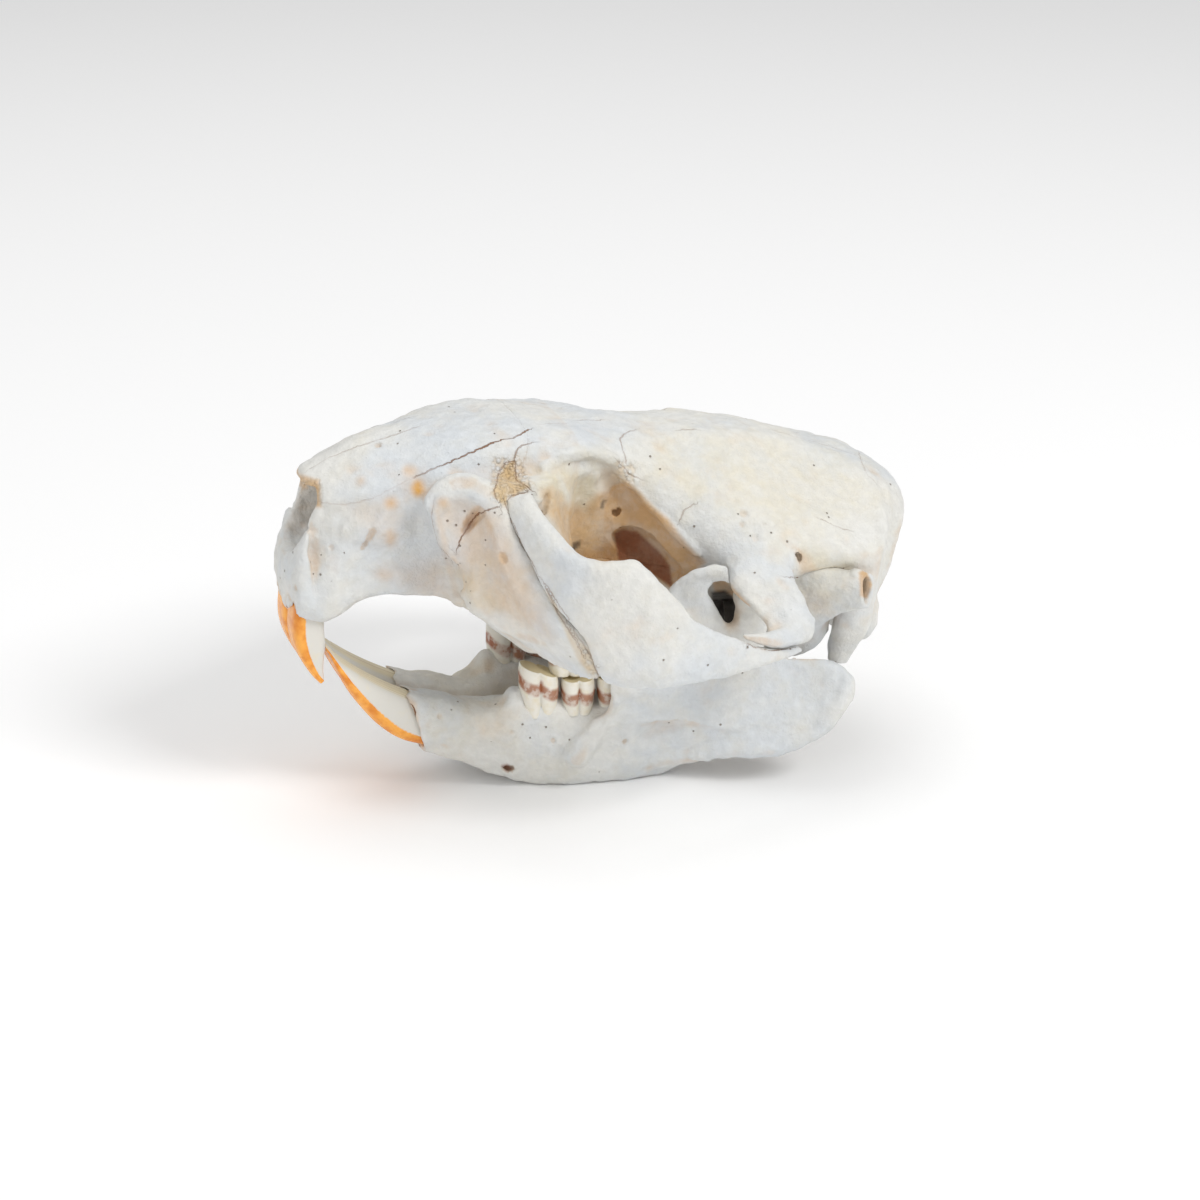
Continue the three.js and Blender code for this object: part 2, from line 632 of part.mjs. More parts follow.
// Part it along the sutures
const face = upper.intersect(block(FACE_SIDE_OUTLINE));
const head = cut(upper, block(FACE_SIDE_OUTLINE, SUTURE_GAP));
const nasals = face.intersect(nasalBed(0));
const cheeks = cut(face, nasalBed(SUTURE_GAP));
const snout = cheeks.intersect(block(SNOUT_SIDE_OUTLINE));
const maxillae = cut(cheeks, block(SNOUT_SIDE_OUTLINE, SUTURE_GAP));
const frontal = head.intersect(block(FRONTAL_SIDE_OUTLINE));
const back = cut(head, block(FRONTAL_SIDE_OUTLINE, SUTURE_GAP));
const occiput = back.intersect(block(OCCIPUT_SIDE_OUTLINE));
const braincase = cut(back, block(OCCIPUT_SIDE_OUTLINE, SUTURE_GAP));

const sideHalf = (side) =>
  side === LEFT
    ? box([-WIDE * 2, -WIDE, -WIDE], [WIDE * 2, -MIDLINE_HALF_GAP, WIDE * 2])
    : box([-WIDE * 2, MIDLINE_HALF_GAP, -WIDE], [WIDE * 2, WIDE, WIDE * 2]);
const aboveTable = box([-WIDE * 2, -WIDE, TABLE_Z], [WIDE * 2, WIDE, WIDE * 2]);

// One side's arch, ear, jaw and front teeth
function jugal(side) {
  const arch = mirrored(() => shaft(JUGAL, { power: SQUARE_BONE, steps: 1 }), side);
  const beside = [CHEEK_PLATE, SQUAMOSAL_ROOT, SQUAMOSAL_TONGUE].map((stations) =>
    mirrored(() => shaft(stations, { grow: SUTURE_GAP }), side),
  );
  return cut(arch, beside, mirrored(() => shaft(CHEEK_ROOT, { grow: SUTURE_GAP, steps: 1 }), side));
}

function bulla(side) {
  const bulb = mirrored(() => shaft(EAR_BULB, { steps: 1 }), side);
  const tube = mirrored(() => shaft(EAR_TUBE, { steps: 1 }), side);
  return cut(join(bulb, tube), mirrored(() => shaft(EAR_HOLE, { steps: 1 }), side));
}

function dentary(side) {
  const body = mirrored(() => shaft(JAW_BODY, { power: JAW_BODY_BONE }), side);
  const plates = [JAW_ANGLE, CORONOID].map((stations) => mirrored(() => shaft(stations), side));
  const knobs = [JAW_CONDYLE, MASSETER_RIDGE].map((stations) =>
    mirrored(() => shaft(stations, { steps: 1 }), side),
  );
  const socket = mirrored(
    () => shaft(LOWER_INCISOR, { grow: SOCKET_GAP, power: SQUARE_BONE, steps: 1 }),
    side,
  );
  const whole = join(body, plates, knobs, lowerTeeth(side));
  return cut(whole, socket).intersect(sideHalf(side)).intersect(aboveTable);
}

const incisor = (stations, side) => mirrored(() => shaft(stations, { power: SQUARE_BONE, steps: 1 }), side);

// A named mesh of a solid
function named(name, body, look) {
  const mesh = largest(body).getMesh();
  const geometry = new THREE.BufferGeometry();
  geometry.setAttribute("position", new THREE.Float32BufferAttribute(mesh.vertProperties, 3));
  geometry.setIndex([...mesh.triVerts]);
  const out = new THREE.Mesh(geometry, new THREE.MeshStandardMaterial(look));
  out.name = name;
  return out;
}

const skull = new THREE.Group();
skull.name = "beaver_skull";
skull.position.set(MIDDLE_SHIFT_X, 0, -TABLE_Z);
skull.add(named("frontal", frontal, BONE));
skull.add(named("braincase", braincase, BONE));
skull.add(named("occipital", occiput, BONE));
for (const [side, word] of [[LEFT, "left"], [RIGHT, "right"]]) {
  const half = sideHalf(side);
  skull.add(named("nasal_" + word, nasals.intersect(half), BONE));
  skull.add(named("premaxilla_" + word, snout.intersect(half), BONE));
  skull.add(named("maxilla_" + word, maxillae.intersect(half), WARM_BONE));
  skull.add(named("jugal_" + word, jugal(side), BONE));
  skull.add(named("ear_bulla_" + word, bulla(side), WARM_BONE));
  skull.add(named("dentary_" + word, dentary(side), BONE));
  skull.add(named("upper_incisor_" + word, incisor(UPPER_INCISOR, side), ENAMEL));
  skull.add(named("lower_incisor_" + word, incisor(LOWER_INCISOR, side), ENAMEL));
}

export default skull;
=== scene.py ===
"""Looks of the beaver skull: melted bone surfaces, gnawing teeth, stains, sutures and pits.

Shapes are worked out in drawing millimetres: nose towards -X, up +Z, the animal's left side at
-Y, and one fixed shift puts them on the table. Each bone is a profile carried along a path. The
bones of a skull flow into one another without an edge, so their profiles are melted together as
signed distances on a lattice before they become a mesh.
"""

import logging
import math
from dataclasses import dataclass, field
from enum import Enum
from functools import partial

import bpy
import numpy as np
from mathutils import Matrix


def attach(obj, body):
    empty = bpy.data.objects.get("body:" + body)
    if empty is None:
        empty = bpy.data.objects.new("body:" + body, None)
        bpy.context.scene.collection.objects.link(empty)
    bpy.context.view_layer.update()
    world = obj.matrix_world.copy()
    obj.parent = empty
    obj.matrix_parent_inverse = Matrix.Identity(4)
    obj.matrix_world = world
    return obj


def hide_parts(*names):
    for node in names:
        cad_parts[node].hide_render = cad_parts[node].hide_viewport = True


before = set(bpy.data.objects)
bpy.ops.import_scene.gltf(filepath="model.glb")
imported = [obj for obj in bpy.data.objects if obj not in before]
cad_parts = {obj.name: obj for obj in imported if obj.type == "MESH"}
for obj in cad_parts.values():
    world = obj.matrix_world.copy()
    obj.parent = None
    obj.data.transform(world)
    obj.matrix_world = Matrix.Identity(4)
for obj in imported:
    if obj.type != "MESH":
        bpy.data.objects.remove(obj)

import openvdb
from mathutils import Matrix, Vector

LOG = logging.getLogger("beaver_skull")
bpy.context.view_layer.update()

MM = 0.001
DRAW_SHIFT = np.array([1.3, 0.0, -1.2])
TABLE_Z = 1.2
FAR_MM = 30.0
PHOTO_PIXELS = 1200

# Share of a path over which its direction is taken
SLOPE_STEP = 0.01

# Slack round a piece that sits in another, and the rounding of its socket's rim
JOIN_GAP = 0.15
JOIN_RIM = 0.5


class Side(Enum):
    """A side of the animal; the value is the sign of Y there."""

    LEFT = -1
    RIGHT = 1

    @property
    def word(self) -> str:
        """The side's name in lower case, as node names end."""
        return self.name.lower()


class Slot(Enum):
    """The record's material slots."""

    BONE = "bone"
    WARM_BONE = "warm_bone"
    ENAMEL = "enamel"


# Curves and profiles


def through(points: np.ndarray, t: np.ndarray) -> np.ndarray:
    """A smooth curve through points: on each span a cubic whose slope at a point is half the
    step between its two neighbours; past its ends the line of points runs straight on.

    Args:
        points: (n, d) points.
        t: (m,) places along the curve, 0 to 1.

    Returns:
        (m, d) points of the curve.
    """
    p = np.vstack([2 * points[:1] - points[1:2], points, 2 * points[-1:] - points[-2:-1]])
    s = np.clip(t, 0.0, 1.0) * (len(points) - 1)
    i = np.minimum(s.astype(int), len(points) - 2)
    w = (s - i)[:, None]
    a, b, c, d = p[i], p[i + 1], p[i + 2], p[i + 3]
    m0, m1 = 0.5 * (c - a), 0.5 * (d - b)
    return b + m0 * w + (3 * (c - b) - 2 * m0 - m1) * w**2 + (2 * (b - c) + m0 + m1) * w**3


def closed_through(points: np.ndarray, around: int) -> np.ndarray:
    """Closed smooth rings: cubics whose knots are spaced by the square root of the chord.

    Args:
        points: (rows, n, 3) corner points of each ring.
        around: points wanted on each ring.

    Returns:
        (rows, around, 3) points.
    """
    n = points.shape[1]
    s = np.arange(around) / around * n
    i = s.astype(int)
    w = (s - i)[None, :, None]
    a, b, c, d = (points[:, (i + k) % n] for k in (-1, 0, 1, 2))
    d0, d1, d2 = (
        np.maximum(np.linalg.norm(q - p, axis=2, keepdims=True) ** 0.5, 1e-4)
        for p, q in ((a, b), (b, c), (c, d))
    )
    m0 = ((b - a) / d0 - (c - a) / (d0 + d1) + (c - b) / d1) * d1
    m1 = ((c - b) / d1 - (d - b) / (d1 + d2) + (d - c) / d2) * d1
    return b + m0 * w + (3 * (c - b) - 2 * m0 - m1) * w**2 + (2 * (b - c) + m0 + m1) * w**3


def bent(value: np.ndarray, power: float) -> np.ndarray:
    """The value raised to a power with its sign kept."""
    return np.sign(value) * np.abs(value) ** power


def ease(value: np.ndarray, start: float, end: float) -> np.ndarray:
    """0 before start, 1 past end and the S curve 3t^2 - 2t^3 between them."""
    t = np.clip((value - start) / (end - start), 0.0, 1.0)
    return t * t * (3.0 - 2.0 * t)


def from_line(at: np.ndarray, a: np.ndarray, b: np.ndarray) -> tuple:
    """Where places lie against the straight piece from a to b: the share along it is
    (at - a).(b - a) / |b - a|^2, held between 0 and 1.

    Args:
        at: (..., d) places.
        a: the piece's start.
        b: the piece's end.

    Returns:
        The share along the piece of each place's nearest point, and the step from that point
        to the place.
    """
    run = b - a
    t = np.clip((at - a) @ run / max(run @ run, 1e-9), 0.0, 1.0)
    return t, at - a - t[..., None] * run


@dataclass(frozen=True)
class Skin:
    """A closed surface: points, four-sided faces and the triangles that close its ends."""

    points: np.ndarray
    quads: np.ndarray
    triangles: np.ndarray

    @staticmethod
    def over(rows: np.ndarray) -> "Skin":
        """A skin over rows of points, each running once round, with a fan at both ends.

        Args:
            rows: (rows, around, 3) points.

        Returns:
            The closed skin.
        """
        count, around = rows.shape[:2]
        i, j = np.meshgrid(np.arange(count - 1), np.arange(around), indexing="ij")
        k = (j + 1) % around
        quads = np.stack(
            [i * around + j, i * around + k, (i + 1) * around + k, (i + 1) * around + j], -1
        ).reshape(-1, 4)
        ends = np.stack([rows[0].mean(0), rows[-1].mean(0)])
        points = np.vstack([rows.reshape(-1, 3), ends])
        j = np.arange(around)
        k = (j + 1) % around
        last = (count - 1) * around
        first_fan = np.stack([k, j, np.full(around, count * around)], -1)
        last_fan = np.stack([last + j, last + k, np.full(around, count * around + 1)], -1)
        return Skin(points, quads, np.vstack([first_fan, last_fan]))

    def mirrored(self, side: Side) -> "Skin":
        """The skin on one side of the animal; shapes are drawn with Y positive."""
        return Skin(self.points * [1.0, side.value, 1.0], self.quads, self.triangles)


@dataclass(frozen=True)
class Shaft:
    """A rod or plate of bone carried along its stations.

    Each station is (upper edge, lower edge, half thickness). The profile between the two edges
    is the oval |u|^power + |v|^power = 1, with u along the line between the edges and v across.
    """

    stations: tuple
    power: float = 2.3
    around: int = 40
    steps: int = 10

    def rows(self, grow: float = 0.0) -> np.ndarray:
        """The shaft's rings of points.

        Args:
            grow: millimetres by which the whole shaft is swollen.

        Returns:
            (rows, around, 3) points, Y positive.
        """
        upper = np.array([s[0] for s in self.stations], float)
        lower = np.array([s[1] for s in self.stations], float)
        half = np.array([[s[2]] for s in self.stations], float)
        t = np.linspace(0, 1, (len(self.stations) - 1) * self.steps + 1)
        top, foot = through(upper, t), through(lower, t)
        before = through(upper, t - SLOPE_STEP) + through(lower, t - SLOPE_STEP)
        after = through(upper, t + SLOPE_STEP) + through(lower, t + SLOPE_STEP)
        forward = (after - before) / np.linalg.norm(after - before, axis=1, keepdims=True)
        middle, along = (top + foot) / 2, (top - foot) / 2
        reach = np.linalg.norm(along, axis=1, keepdims=True)
        across = np.cross(along, forward)
        across /= np.linalg.norm(across, axis=1, keepdims=True)
        along = along / reach * (reach + grow)
        across = across * (through(half, t) + grow)
        middle[0] -= forward[0] * grow
        middle[-1] += forward[-1] * grow
        angle = 2 * math.pi * np.arange(self.around) / self.around
        a = bent(np.sin(angle), 2 / self.power)[None, :, None]
        b = bent(np.cos(angle), 2 / self.power)[None, :, None]
        return middle[:, None] + along[:, None] * a + across[:, None] * b

    def skin(self, side: Side = Side.RIGHT, grow: float = 0.0) -> Skin:
        """The closed shaft on one side, swollen by grow millimetres."""
        return Skin.over(self.rows(grow)).mirrored(side)


@dataclass(frozen=True)
class Core:
    """The two-sided middle body of the skull.

    Each station is (x, roof z, shoulder y z, widest y z, low edge y z, underside z); its ring is
    a closed smooth curve through those points and their mirror images.
    """

    stations: tuple
    around: int = 96
    steps: int = 8

    def skin(self) -> Skin:
        """The body as one surface.

        Returns:
            The closed skin.
        """
        x, roof, ys, zs, ym, zm, yb, zb, under = np.array(self.stations, float).T
        nil = np.zeros_like(x)
        ring = [(nil, roof), (ys, zs), (ym, zm), (yb, zb), (nil, under)]
        ring += [(-yb, zb), (-ym, zm), (-ys, zs)]
        points = np.stack([np.stack([x, y, z], -1) for y, z in ring], 1)
        t = np.linspace(0, 1, (len(x) - 1) * self.steps + 1)
        lines = through(points.reshape(len(x), -1), t).reshape(len(t), len(ring), 3)
        return Skin.over(closed_through(lines, self.around))


# Bone as signed distances


def melt(a: np.ndarray, b: np.ndarray, reach: float) -> np.ndarray:
    """The lower of two distances, rounded where they are closer than reach:
    min(a, b) - reach/4 * max(0, 1 - |a - b|/reach)^2.
    """
    near = np.maximum(reach - np.abs(a - b), 0.0) / reach
    return np.minimum(a, b) - near * near * reach / 4


@dataclass
class Clay:
    """Signed distances in millimetres on a lattice, negative inside the bone."""

    low: tuple
    high: tuple
    voxel: float
    start: np.ndarray = field(init=False)
    values: np.ndarray = field(init=False)

    def __post_init__(self) -> None:
        """Start as empty space."""
        self.start = np.floor(np.array(self.low) / self.voxel).astype(int)
        stop = np.ceil(np.array(self.high) / self.voxel).astype(int)
        self.values = np.full(stop - self.start + 1, FAR_MM, np.float32)

    @classmethod
    def on_side(cls, side: Side, low: tuple, high: tuple, voxel: float) -> "Clay":
        """Empty space between two corners that are given for the side where Y is positive."""
        y_low, y_high = sorted((low[1] * side.value, high[1] * side.value))
        return cls((low[0], y_low, low[2]), (high[0], y_high, high[2]), voxel)

    def patch(self, low: np.ndarray, high: np.ndarray) -> tuple:
        """The part of the lattice between two corners.

        Args:
            low: the lower corner in millimetres.
            high: the upper corner in millimetres.

        Returns:
            Slices into values, and the lattice index of the first cell.
        """
        a = np.maximum(np.floor(low / self.voxel).astype(int), self.start)
        b = np.ceil(high / self.voxel).astype(int)
        b = np.minimum(b, self.start + self.values.shape - 1)
        place = tuple(slice(p, q) for p, q in zip(a - self.start, b - self.start + 1))
        return place, a

    def distances(self, skin: Skin, reach: float) -> tuple:
        """Signed distances to a closed skin near it.

        Args:
            skin: the closed surface.
            reach: millimetres to which the distances have to be right.

        Returns:
            Slices into values, and the distances there.
        """
        band = reach / self.voxel + 3
        pad = band * self.voxel
        place, first = self.patch(skin.points.min(0) - pad, skin.points.max(0) + pad)
        grid = openvdb.FloatGrid.createLevelSetFromPolygons(
            np.ascontiguousarray(skin.points, np.float32),
            triangles=np.ascontiguousarray(skin.triangles, np.uint32),
            quads=np.ascontiguousarray(skin.quads, np.uint32),
            transform=openvdb.createLinearTransform(voxelSize=self.voxel),
            halfWidth=band,
        )
        box = np.empty(self.values[place].shape, np.float32)
        grid.copyToArray(box, ijk=tuple(int(v) for v in first))
        return place, box

    def lay(self, place: tuple, box: np.ndarray, reach: float) -> None:
        """Melt on the solid whose distances are box."""
        self.values[place] = melt(self.values[place], box, reach)

    def sink(self, place: tuple, box: np.ndarray, reach: float) -> None:
        """Take out the solid whose distances are box."""
        self.values[place] = -melt(-self.values[place], box, reach)

    def add(self, skin: Skin, reach: float) -> None:
        """Melt a solid onto the clay; its edge is rounded over reach millimetres."""
        self.lay(*self.distances(skin, reach), reach)

    def cut(self, skin: Skin, reach: float) -> None:
        """Hollow the clay by a solid, with the rim rounded over reach millimetres."""
        self.sink(*self.distances(skin, reach), reach)

    def cells(self, low: np.ndarray, high: np.ndarray) -> tuple:
        """The cells between two corners.

        Args:
            low: the lower corner in millimetres.
            high: the upper corner in millimetres.

        Returns:
            Slices into values, and the cells' places in millimetres.
        """
        place, first = self.patch(low, high)
        axes = [
            (np.arange(s.stop - s.start) + f) * self.voxel for s, f in zip(place, first)
        ]
        return place, np.stack(np.meshgrid(*axes, indexing="ij"), -1)

    def rod(self, start: np.ndarray, end: np.ndarray, radii: tuple, reach: float) -> tuple:
        """Distances to a round rod between two points.

        Args:
            start: one end.
            end: the other end.
            radii: its radius at each end.
            reach: millimetres to which the distances have to be right.

        Returns:
            Slices into values, and the distances there.
        """
        a, b = np.array(start, float), np.array(end, float)
        pad = max(radii) + reach + 2 * self.voxel
        place, at = self.cells(np.minimum(a, b) - pad, np.maximum(a, b) + pad)
        t, off = from_line(at, a, b)
        return place, np.linalg.norm(off, axis=-1) - (radii[0] + (radii[1] - radii[0]) * t)

    def bore(self, start: np.ndarray, end: np.ndarray, radii: tuple, reach: float) -> None:
        """Sink a round hole from start to end."""
        self.sink(*self.rod(start, end, radii, reach), reach)

    def bead(self, start: np.ndarray, end: np.ndarray, radii: tuple, reach: float) -> None:
        """Lay a round ridge from start to end."""
        self.lay(*self.rod(start, end, radii, reach), reach)

    def sample(self, points: np.ndarray) -> np.ndarray:
        """Distances at points, weighed between the eight cells around each.

        Args:
            points: (n, 3) points in millimetres.

        Returns:
            (n,) distances.
        """
        p = np.clip(points / self.voxel - self.start, 0, np.array(self.values.shape) - 1.001)
        i = p.astype(int)
        w = p - i
        out = np.zeros(len(points))
        for corner in np.ndindex(2, 2, 2):
            c = np.array(corner)
            share = np.prod(np.where(c, w, 1 - w), axis=1)
            k = i + c
            out += share * self.values[k[:, 0], k[:, 1], k[:, 2]]
        return out

    def outward(self, points: np.ndarray) -> np.ndarray:
        """Unit vectors out of the bone: the slope of the distance.

        Args:
            points: (n, 3) points in millimetres.

        Returns:
            (n, 3) unit vectors.
        """
        step = self.voxel * np.eye(3)
        slope = np.stack([self.sample(points + s) - self.sample(points - s) for s in step], -1)
        return slope / np.maximum(np.linalg.norm(slope, axis=1, keepdims=True), 1e-9)

    def hollows(self, skin: Skin) -> np.ndarray:
        """How hollow the bone is at each point of its skin: along the outward line the distance
        grows as fast as the step on a flat face, slower in a hollow and faster on a ridge.

        Args:
            skin: a skin of this clay.

        Returns:
            (n,) values, positive in hollows, negative on ridges, about -1 to 1.
        """
        out = self.outward(skin.points)
        deep = np.zeros(len(skin.points))
        for step, share in ((0.9, 0.5), (1.8, 0.5)):
            deep += share * (1.0 - self.sample(skin.points + out * step) / step)
        return deep

    def surface(self, keep: np.ndarray | None = None) -> Skin:
        """The skin where the distance is nought, of its largest body alone.

        Args:
            keep: distances that limit the clay, negative where it stays.

        Returns:
            The closed skin.
        """
        values = self.values if keep is None else np.maximum(self.values, keep)
        grid = openvdb.FloatGrid(FAR_MM)
        grid.transform = openvdb.createLinearTransform(voxelSize=self.voxel)
        grid.copyFromArray(
            np.ascontiguousarray(values, np.float32), ijk=tuple(int(v) for v in self.start)
        )
        points, quads = grid.convertToQuads()
        return largest(Skin(points.astype(float), quads.astype(np.int64), np.empty((0, 3), int)))


def largest(skin: Skin) -> Skin:
    """The largest connected part: each point takes the lowest label among its neighbours, and
    labels jump to their own label's label, until nothing changes.

    Args:
        skin: a skin of one or more separate parts.

    Returns:
        The part with the most points.
    """
    label = np.arange(len(skin.points))
    while True:
        low = label[skin.quads].min(1)
        new = label.copy()
        np.minimum.at(new, skin.quads.ravel(), np.repeat(low, 4))
        new = new[new]
        if (new == label).all():
            break
        label = new
    kept = label == np.bincount(label).argmax()
    index = np.cumsum(kept) - 1
    quads = index[skin.quads[kept[skin.quads[:, 0]]]]
    return Skin(skin.points[kept], quads, skin.triangles)


# The view the photograph was taken from


@dataclass(frozen=True)
class PhotoView:
    """The camera: where it looks, how it is turned and how far away it stands.

    A ray is searched for bone over the search distance before and behind the target, a stride
    at a time, in millimetres.
    """

    target: tuple = (1.3, 0.0, 33.8)
    turned_to_nose_deg: float = 19.0
    looking_down_deg: float = 22.0
    distance: float = 600.0
    lens: float = 88.2
    sensor: float = 36.0
    search: float = 110.0
    stride: float = 0.4

    @property
    def back(self) -> np.ndarray:
        """Unit vector from the object to the camera."""
        a, e = math.radians(self.turned_to_nose_deg), math.radians(self.looking_down_deg)
        return np.array([-math.sin(a) * math.cos(e), -math.cos(a) * math.cos(e), math.sin(e)])

    @property
    def axes(self) -> tuple:
        """Unit vectors in the picture's plane.

        Returns:
            The vector to the right and the vector up.
        """
        right = np.cross([0, 0, 1], self.back)
        right /= np.linalg.norm(right)
        return right, np.cross(self.back, right)

    @property
    def place(self) -> np.ndarray:
        """Where the camera stands, in drawing millimetres."""
        return np.array(self.target) - DRAW_SHIFT + self.back * self.distance

    @property
    def focal(self) -> float:
        """Focal length in picture pixels."""
        return self.lens / self.sensor * PHOTO_PIXELS

    def pixels(self, points: np.ndarray) -> np.ndarray:
        """Picture places of points.

        Args:
            points: (n, 3) points in millimetres.

        Returns:
            (n, 2) places, x to the right and y down.
        """
        right, up = self.axes
        away = points - self.place
        depth = -(away @ self.back)
        x = away @ right / depth * self.focal + PHOTO_PIXELS / 2
        y = PHOTO_PIXELS / 2 - away @ up / depth * self.focal
        return np.stack([x, y], -1)

    def rays(self, pixels: np.ndarray) -> np.ndarray:
        """Unit vectors from the camera through picture places.

        Args:
            pixels: (n, 2) places.

        Returns:
            (n, 3) unit vectors.
        """
        right, up = self.axes
        x = (pixels[:, 0] - PHOTO_PIXELS / 2) / self.focal
        y = (PHOTO_PIXELS / 2 - pixels[:, 1]) / self.focal
        ray = x[:, None] * right + y[:, None] * up - self.back
        return ray / np.linalg.norm(ray, axis=1, keepdims=True)

    def onto(self, clay: Clay, pixels: np.ndarray, side: Side = Side.LEFT) -> np.ndarray:
        """Where rays through picture places first meet the clay.

        Args:
            clay: the bone.
            pixels: (n, 2) places.
            side: RIGHT meets the mirror image of the clay, for bones that the camera doesn't see.

        Returns:
            (n, 3) points on the camera's side; rays that miss give the point nearest the
            middle plane.
        """
        rays = self.rays(np.asarray(pixels, float))
        near, far = self.distance - self.search, self.distance + self.search
        reach = np.arange(near, far, self.stride)
        at = self.place + rays[:, None] * reach[None, :, None]
        value = clay.sample(at.reshape(-1, 3) * [1.0, -side.value, 1.0]).reshape(len(rays), -1)
        inside = value < 0
        first = np.where(inside.any(1), inside.argmax(1), np.abs(at[..., 1]).argmin(1))
        first = np.maximum(first, 1)
        n = np.arange(len(rays))
        a, b = value[n, first - 1], value[n, first]
        share = np.clip(a / np.where(a - b == 0, 1, a - b), 0, 1)
        return at[n, first - 1] + (at[n, first] - at[n, first - 1]) * share[:, None]

    def set_camera(self) -> None:
        """Put the scene's camera there."""
        data = bpy.data.cameras.new("camera")
        data.lens = self.lens
        data.sensor_width = self.sensor
        data.clip_start, data.clip_end = 0.05, 20
        camera = bpy.data.objects.new("camera", data)
        bpy.context.scene.collection.objects.link(camera)
        right, up = self.axes
        turn = Matrix([right, up, self.back]).transposed().to_4x4()
        camera.matrix_world = Matrix.Translation(Vector((self.place + DRAW_SHIFT) * MM)) @ turn
        bpy.context.scene.camera = camera


VIEW = PhotoView()


# Marks on the surface


def stepped(pixels: tuple, step: float = 4.0) -> np.ndarray:
    """Places every few picture pixels along a line through the given ones.

    Args:
        pixels: the line's corners.
        step: pixels between places.

    Returns:
        (n, 2) places.
    """
    corners = np.array(pixels, float)
    length = np.r_[0, np.cumsum(np.linalg.norm(np.diff(corners, axis=0), axis=1))]
    t = np.linspace(0, length[-1], max(3, int(length[-1] / step)))
    return np.stack([np.interp(t, length, corners[:, k]) for k in (0, 1)], -1)


@dataclass(frozen=True)
class Hole:
    """A pit or foramen sunk with a round tool along a line of picture places.

    The tool's radius runs from the first to the second value, and it sinks in by depth, all in
    millimetres; a knob is laid on instead where raised.
    """

    pixels: tuple
    radius: tuple
    depth: float
    reach: float = 0.4
    raised: bool = False
    step: float = 5.0

    def draw(self, clay: Clay, side: Side) -> None:
        """Sink the hole, or lay the knob, on one side of the clay.

        Args:
            clay: the bone.
            side: the side of the animal to work on.
        """
        points = VIEW.onto(clay, stepped(self.pixels, self.step), side) * [1.0, -side.value, 1.0]
        out = clay.outward(points)
        radii = np.linspace(self.radius[0], self.radius[1], len(points))
        lift = (radii - self.depth) * (-1.0 if self.raised else 1.0)
        middle = points + out * lift[:, None]
        tool = clay.bead if self.raised else clay.bore
        for i in range(len(points) - 1):
            tool(middle[i], middle[i + 1], (radii[i], radii[i + 1]), self.reach)


@dataclass(frozen=True)
class Press:
    """A soft thumb mark along a line of picture places.

    The bone sinks by depth on the line, or rises where depth is negative, and the mark fades out
    along an S curve over width; both in millimetres. The line is lifted off the bone by 0.4 of
    the width, so that the back of a thin plate stays as it is.
    """

    pixels: tuple
    width: float
    depth: float
    step: float = 8.0

    def draw(self, clay: Clay, side: Side) -> None:
        """Press one side of the clay.

        Args:
            clay: the bone.
            side: the side of the animal to work on.
        """
        points = VIEW.onto(clay, stepped(self.pixels, self.step), side) * [1.0, -side.value, 1.0]
        points += clay.outward(points) * 0.4 * self.width
        place, at = clay.cells(points.min(0) - self.width, points.max(0) + self.width)
        gone = np.full(at.shape[:3], 1.1 * self.width)
        for a, b in zip(points[:-1], points[1:]):
            gone = np.minimum(gone, np.linalg.norm(from_line(at, a, b)[1], axis=-1))
        fade = ease(gone, 0.4 * self.width, 1.1 * self.width)
        clay.values[place] += self.depth * (1.0 - fade)


@dataclass(frozen=True)
class SeamLine:
    """A suture or crack, drawn through picture places onto the bone it crosses.

    strength is how dark it is, from 0 to 1.
    """

    pixels: tuple
    strength: float = 1.0

    def trace(self, clay: Clay, side: Side) -> np.ndarray:
        """The line on the bone, about one point a millimetre."""
        return VIEW.onto(clay, stepped(self.pixels), side)


# Patches of colour: some are the bone's own stains, some are painted shade.
@dataclass(frozen=True)
class Stain:
    """A coloured patch inside an outline of picture places, with a soft border in pixels."""

    outline: tuple
    soft: float = 12.0
    amount: float = 1.0

    def cover(self, points: np.ndarray, normals: np.ndarray) -> np.ndarray:
        """How much of the patch is on each point: 1 inside, 0 outside, for faces that look
        towards the camera.

        Args:
            points: (n, 3) points of the bone's skin.
            normals: (n, 3) unit vectors out of the bone there.

        Returns:
            (n,) shares.
        """
        place = VIEW.pixels(near_side(points))
        corner = np.array(self.outline, float)
        nxt = np.roll(corner, -1, axis=0)
        gone = np.full(len(place), 1e9)
        inside = np.zeros(len(place), bool)
        for a, b in zip(corner, nxt):
            gone = np.minimum(gone, np.linalg.norm(from_line(place, a, b)[1], axis=1))
            crosses = (a[1] > place[:, 1]) != (b[1] > place[:, 1])
            rise = (b[1] - a[1]) or 1e-9
            inside ^= crosses & (place[:, 0] < a[0] + (place[:, 1] - a[1]) / rise * (b - a)[0])
        signed = np.where(inside, gone, -gone)
        facing = near_side(normals) @ VIEW.back
        return self.amount * ease(signed, -self.soft, self.soft) * ease(facing, -0.25, 0.05)


@dataclass(frozen=True)
class Markings:
    """What the photograph shows on a bone.

    marks are the forms worked into its clay, lines its sutures and cracks, and the last field
    its coloured patches by layer name: the bone's own colours and painted shade.
    """

    marks: tuple
    lines: tuple
    stains: dict

    def work(self, clay: Clay, side: Side) -> None:
        """Work the marks into one side of the clay, in their order."""
        for mark in self.marks:
            mark.draw(clay, side)


def spot(x: float, y: float, wide: float, high: float) -> tuple:
    """The outline of an oval spot in picture places, from its middle and half sizes."""
    turns = np.linspace(0, 2 * math.pi, 12, endpoint=False)
    return tuple((x + wide * math.cos(t), y + high * math.sin(t)) for t in turns)


def near_side(points: np.ndarray) -> np.ndarray:
    """Points brought to the camera's side of the middle plane."""
    return np.stack([points[:, 0], -np.abs(points[:, 1]), points[:, 2]], -1)


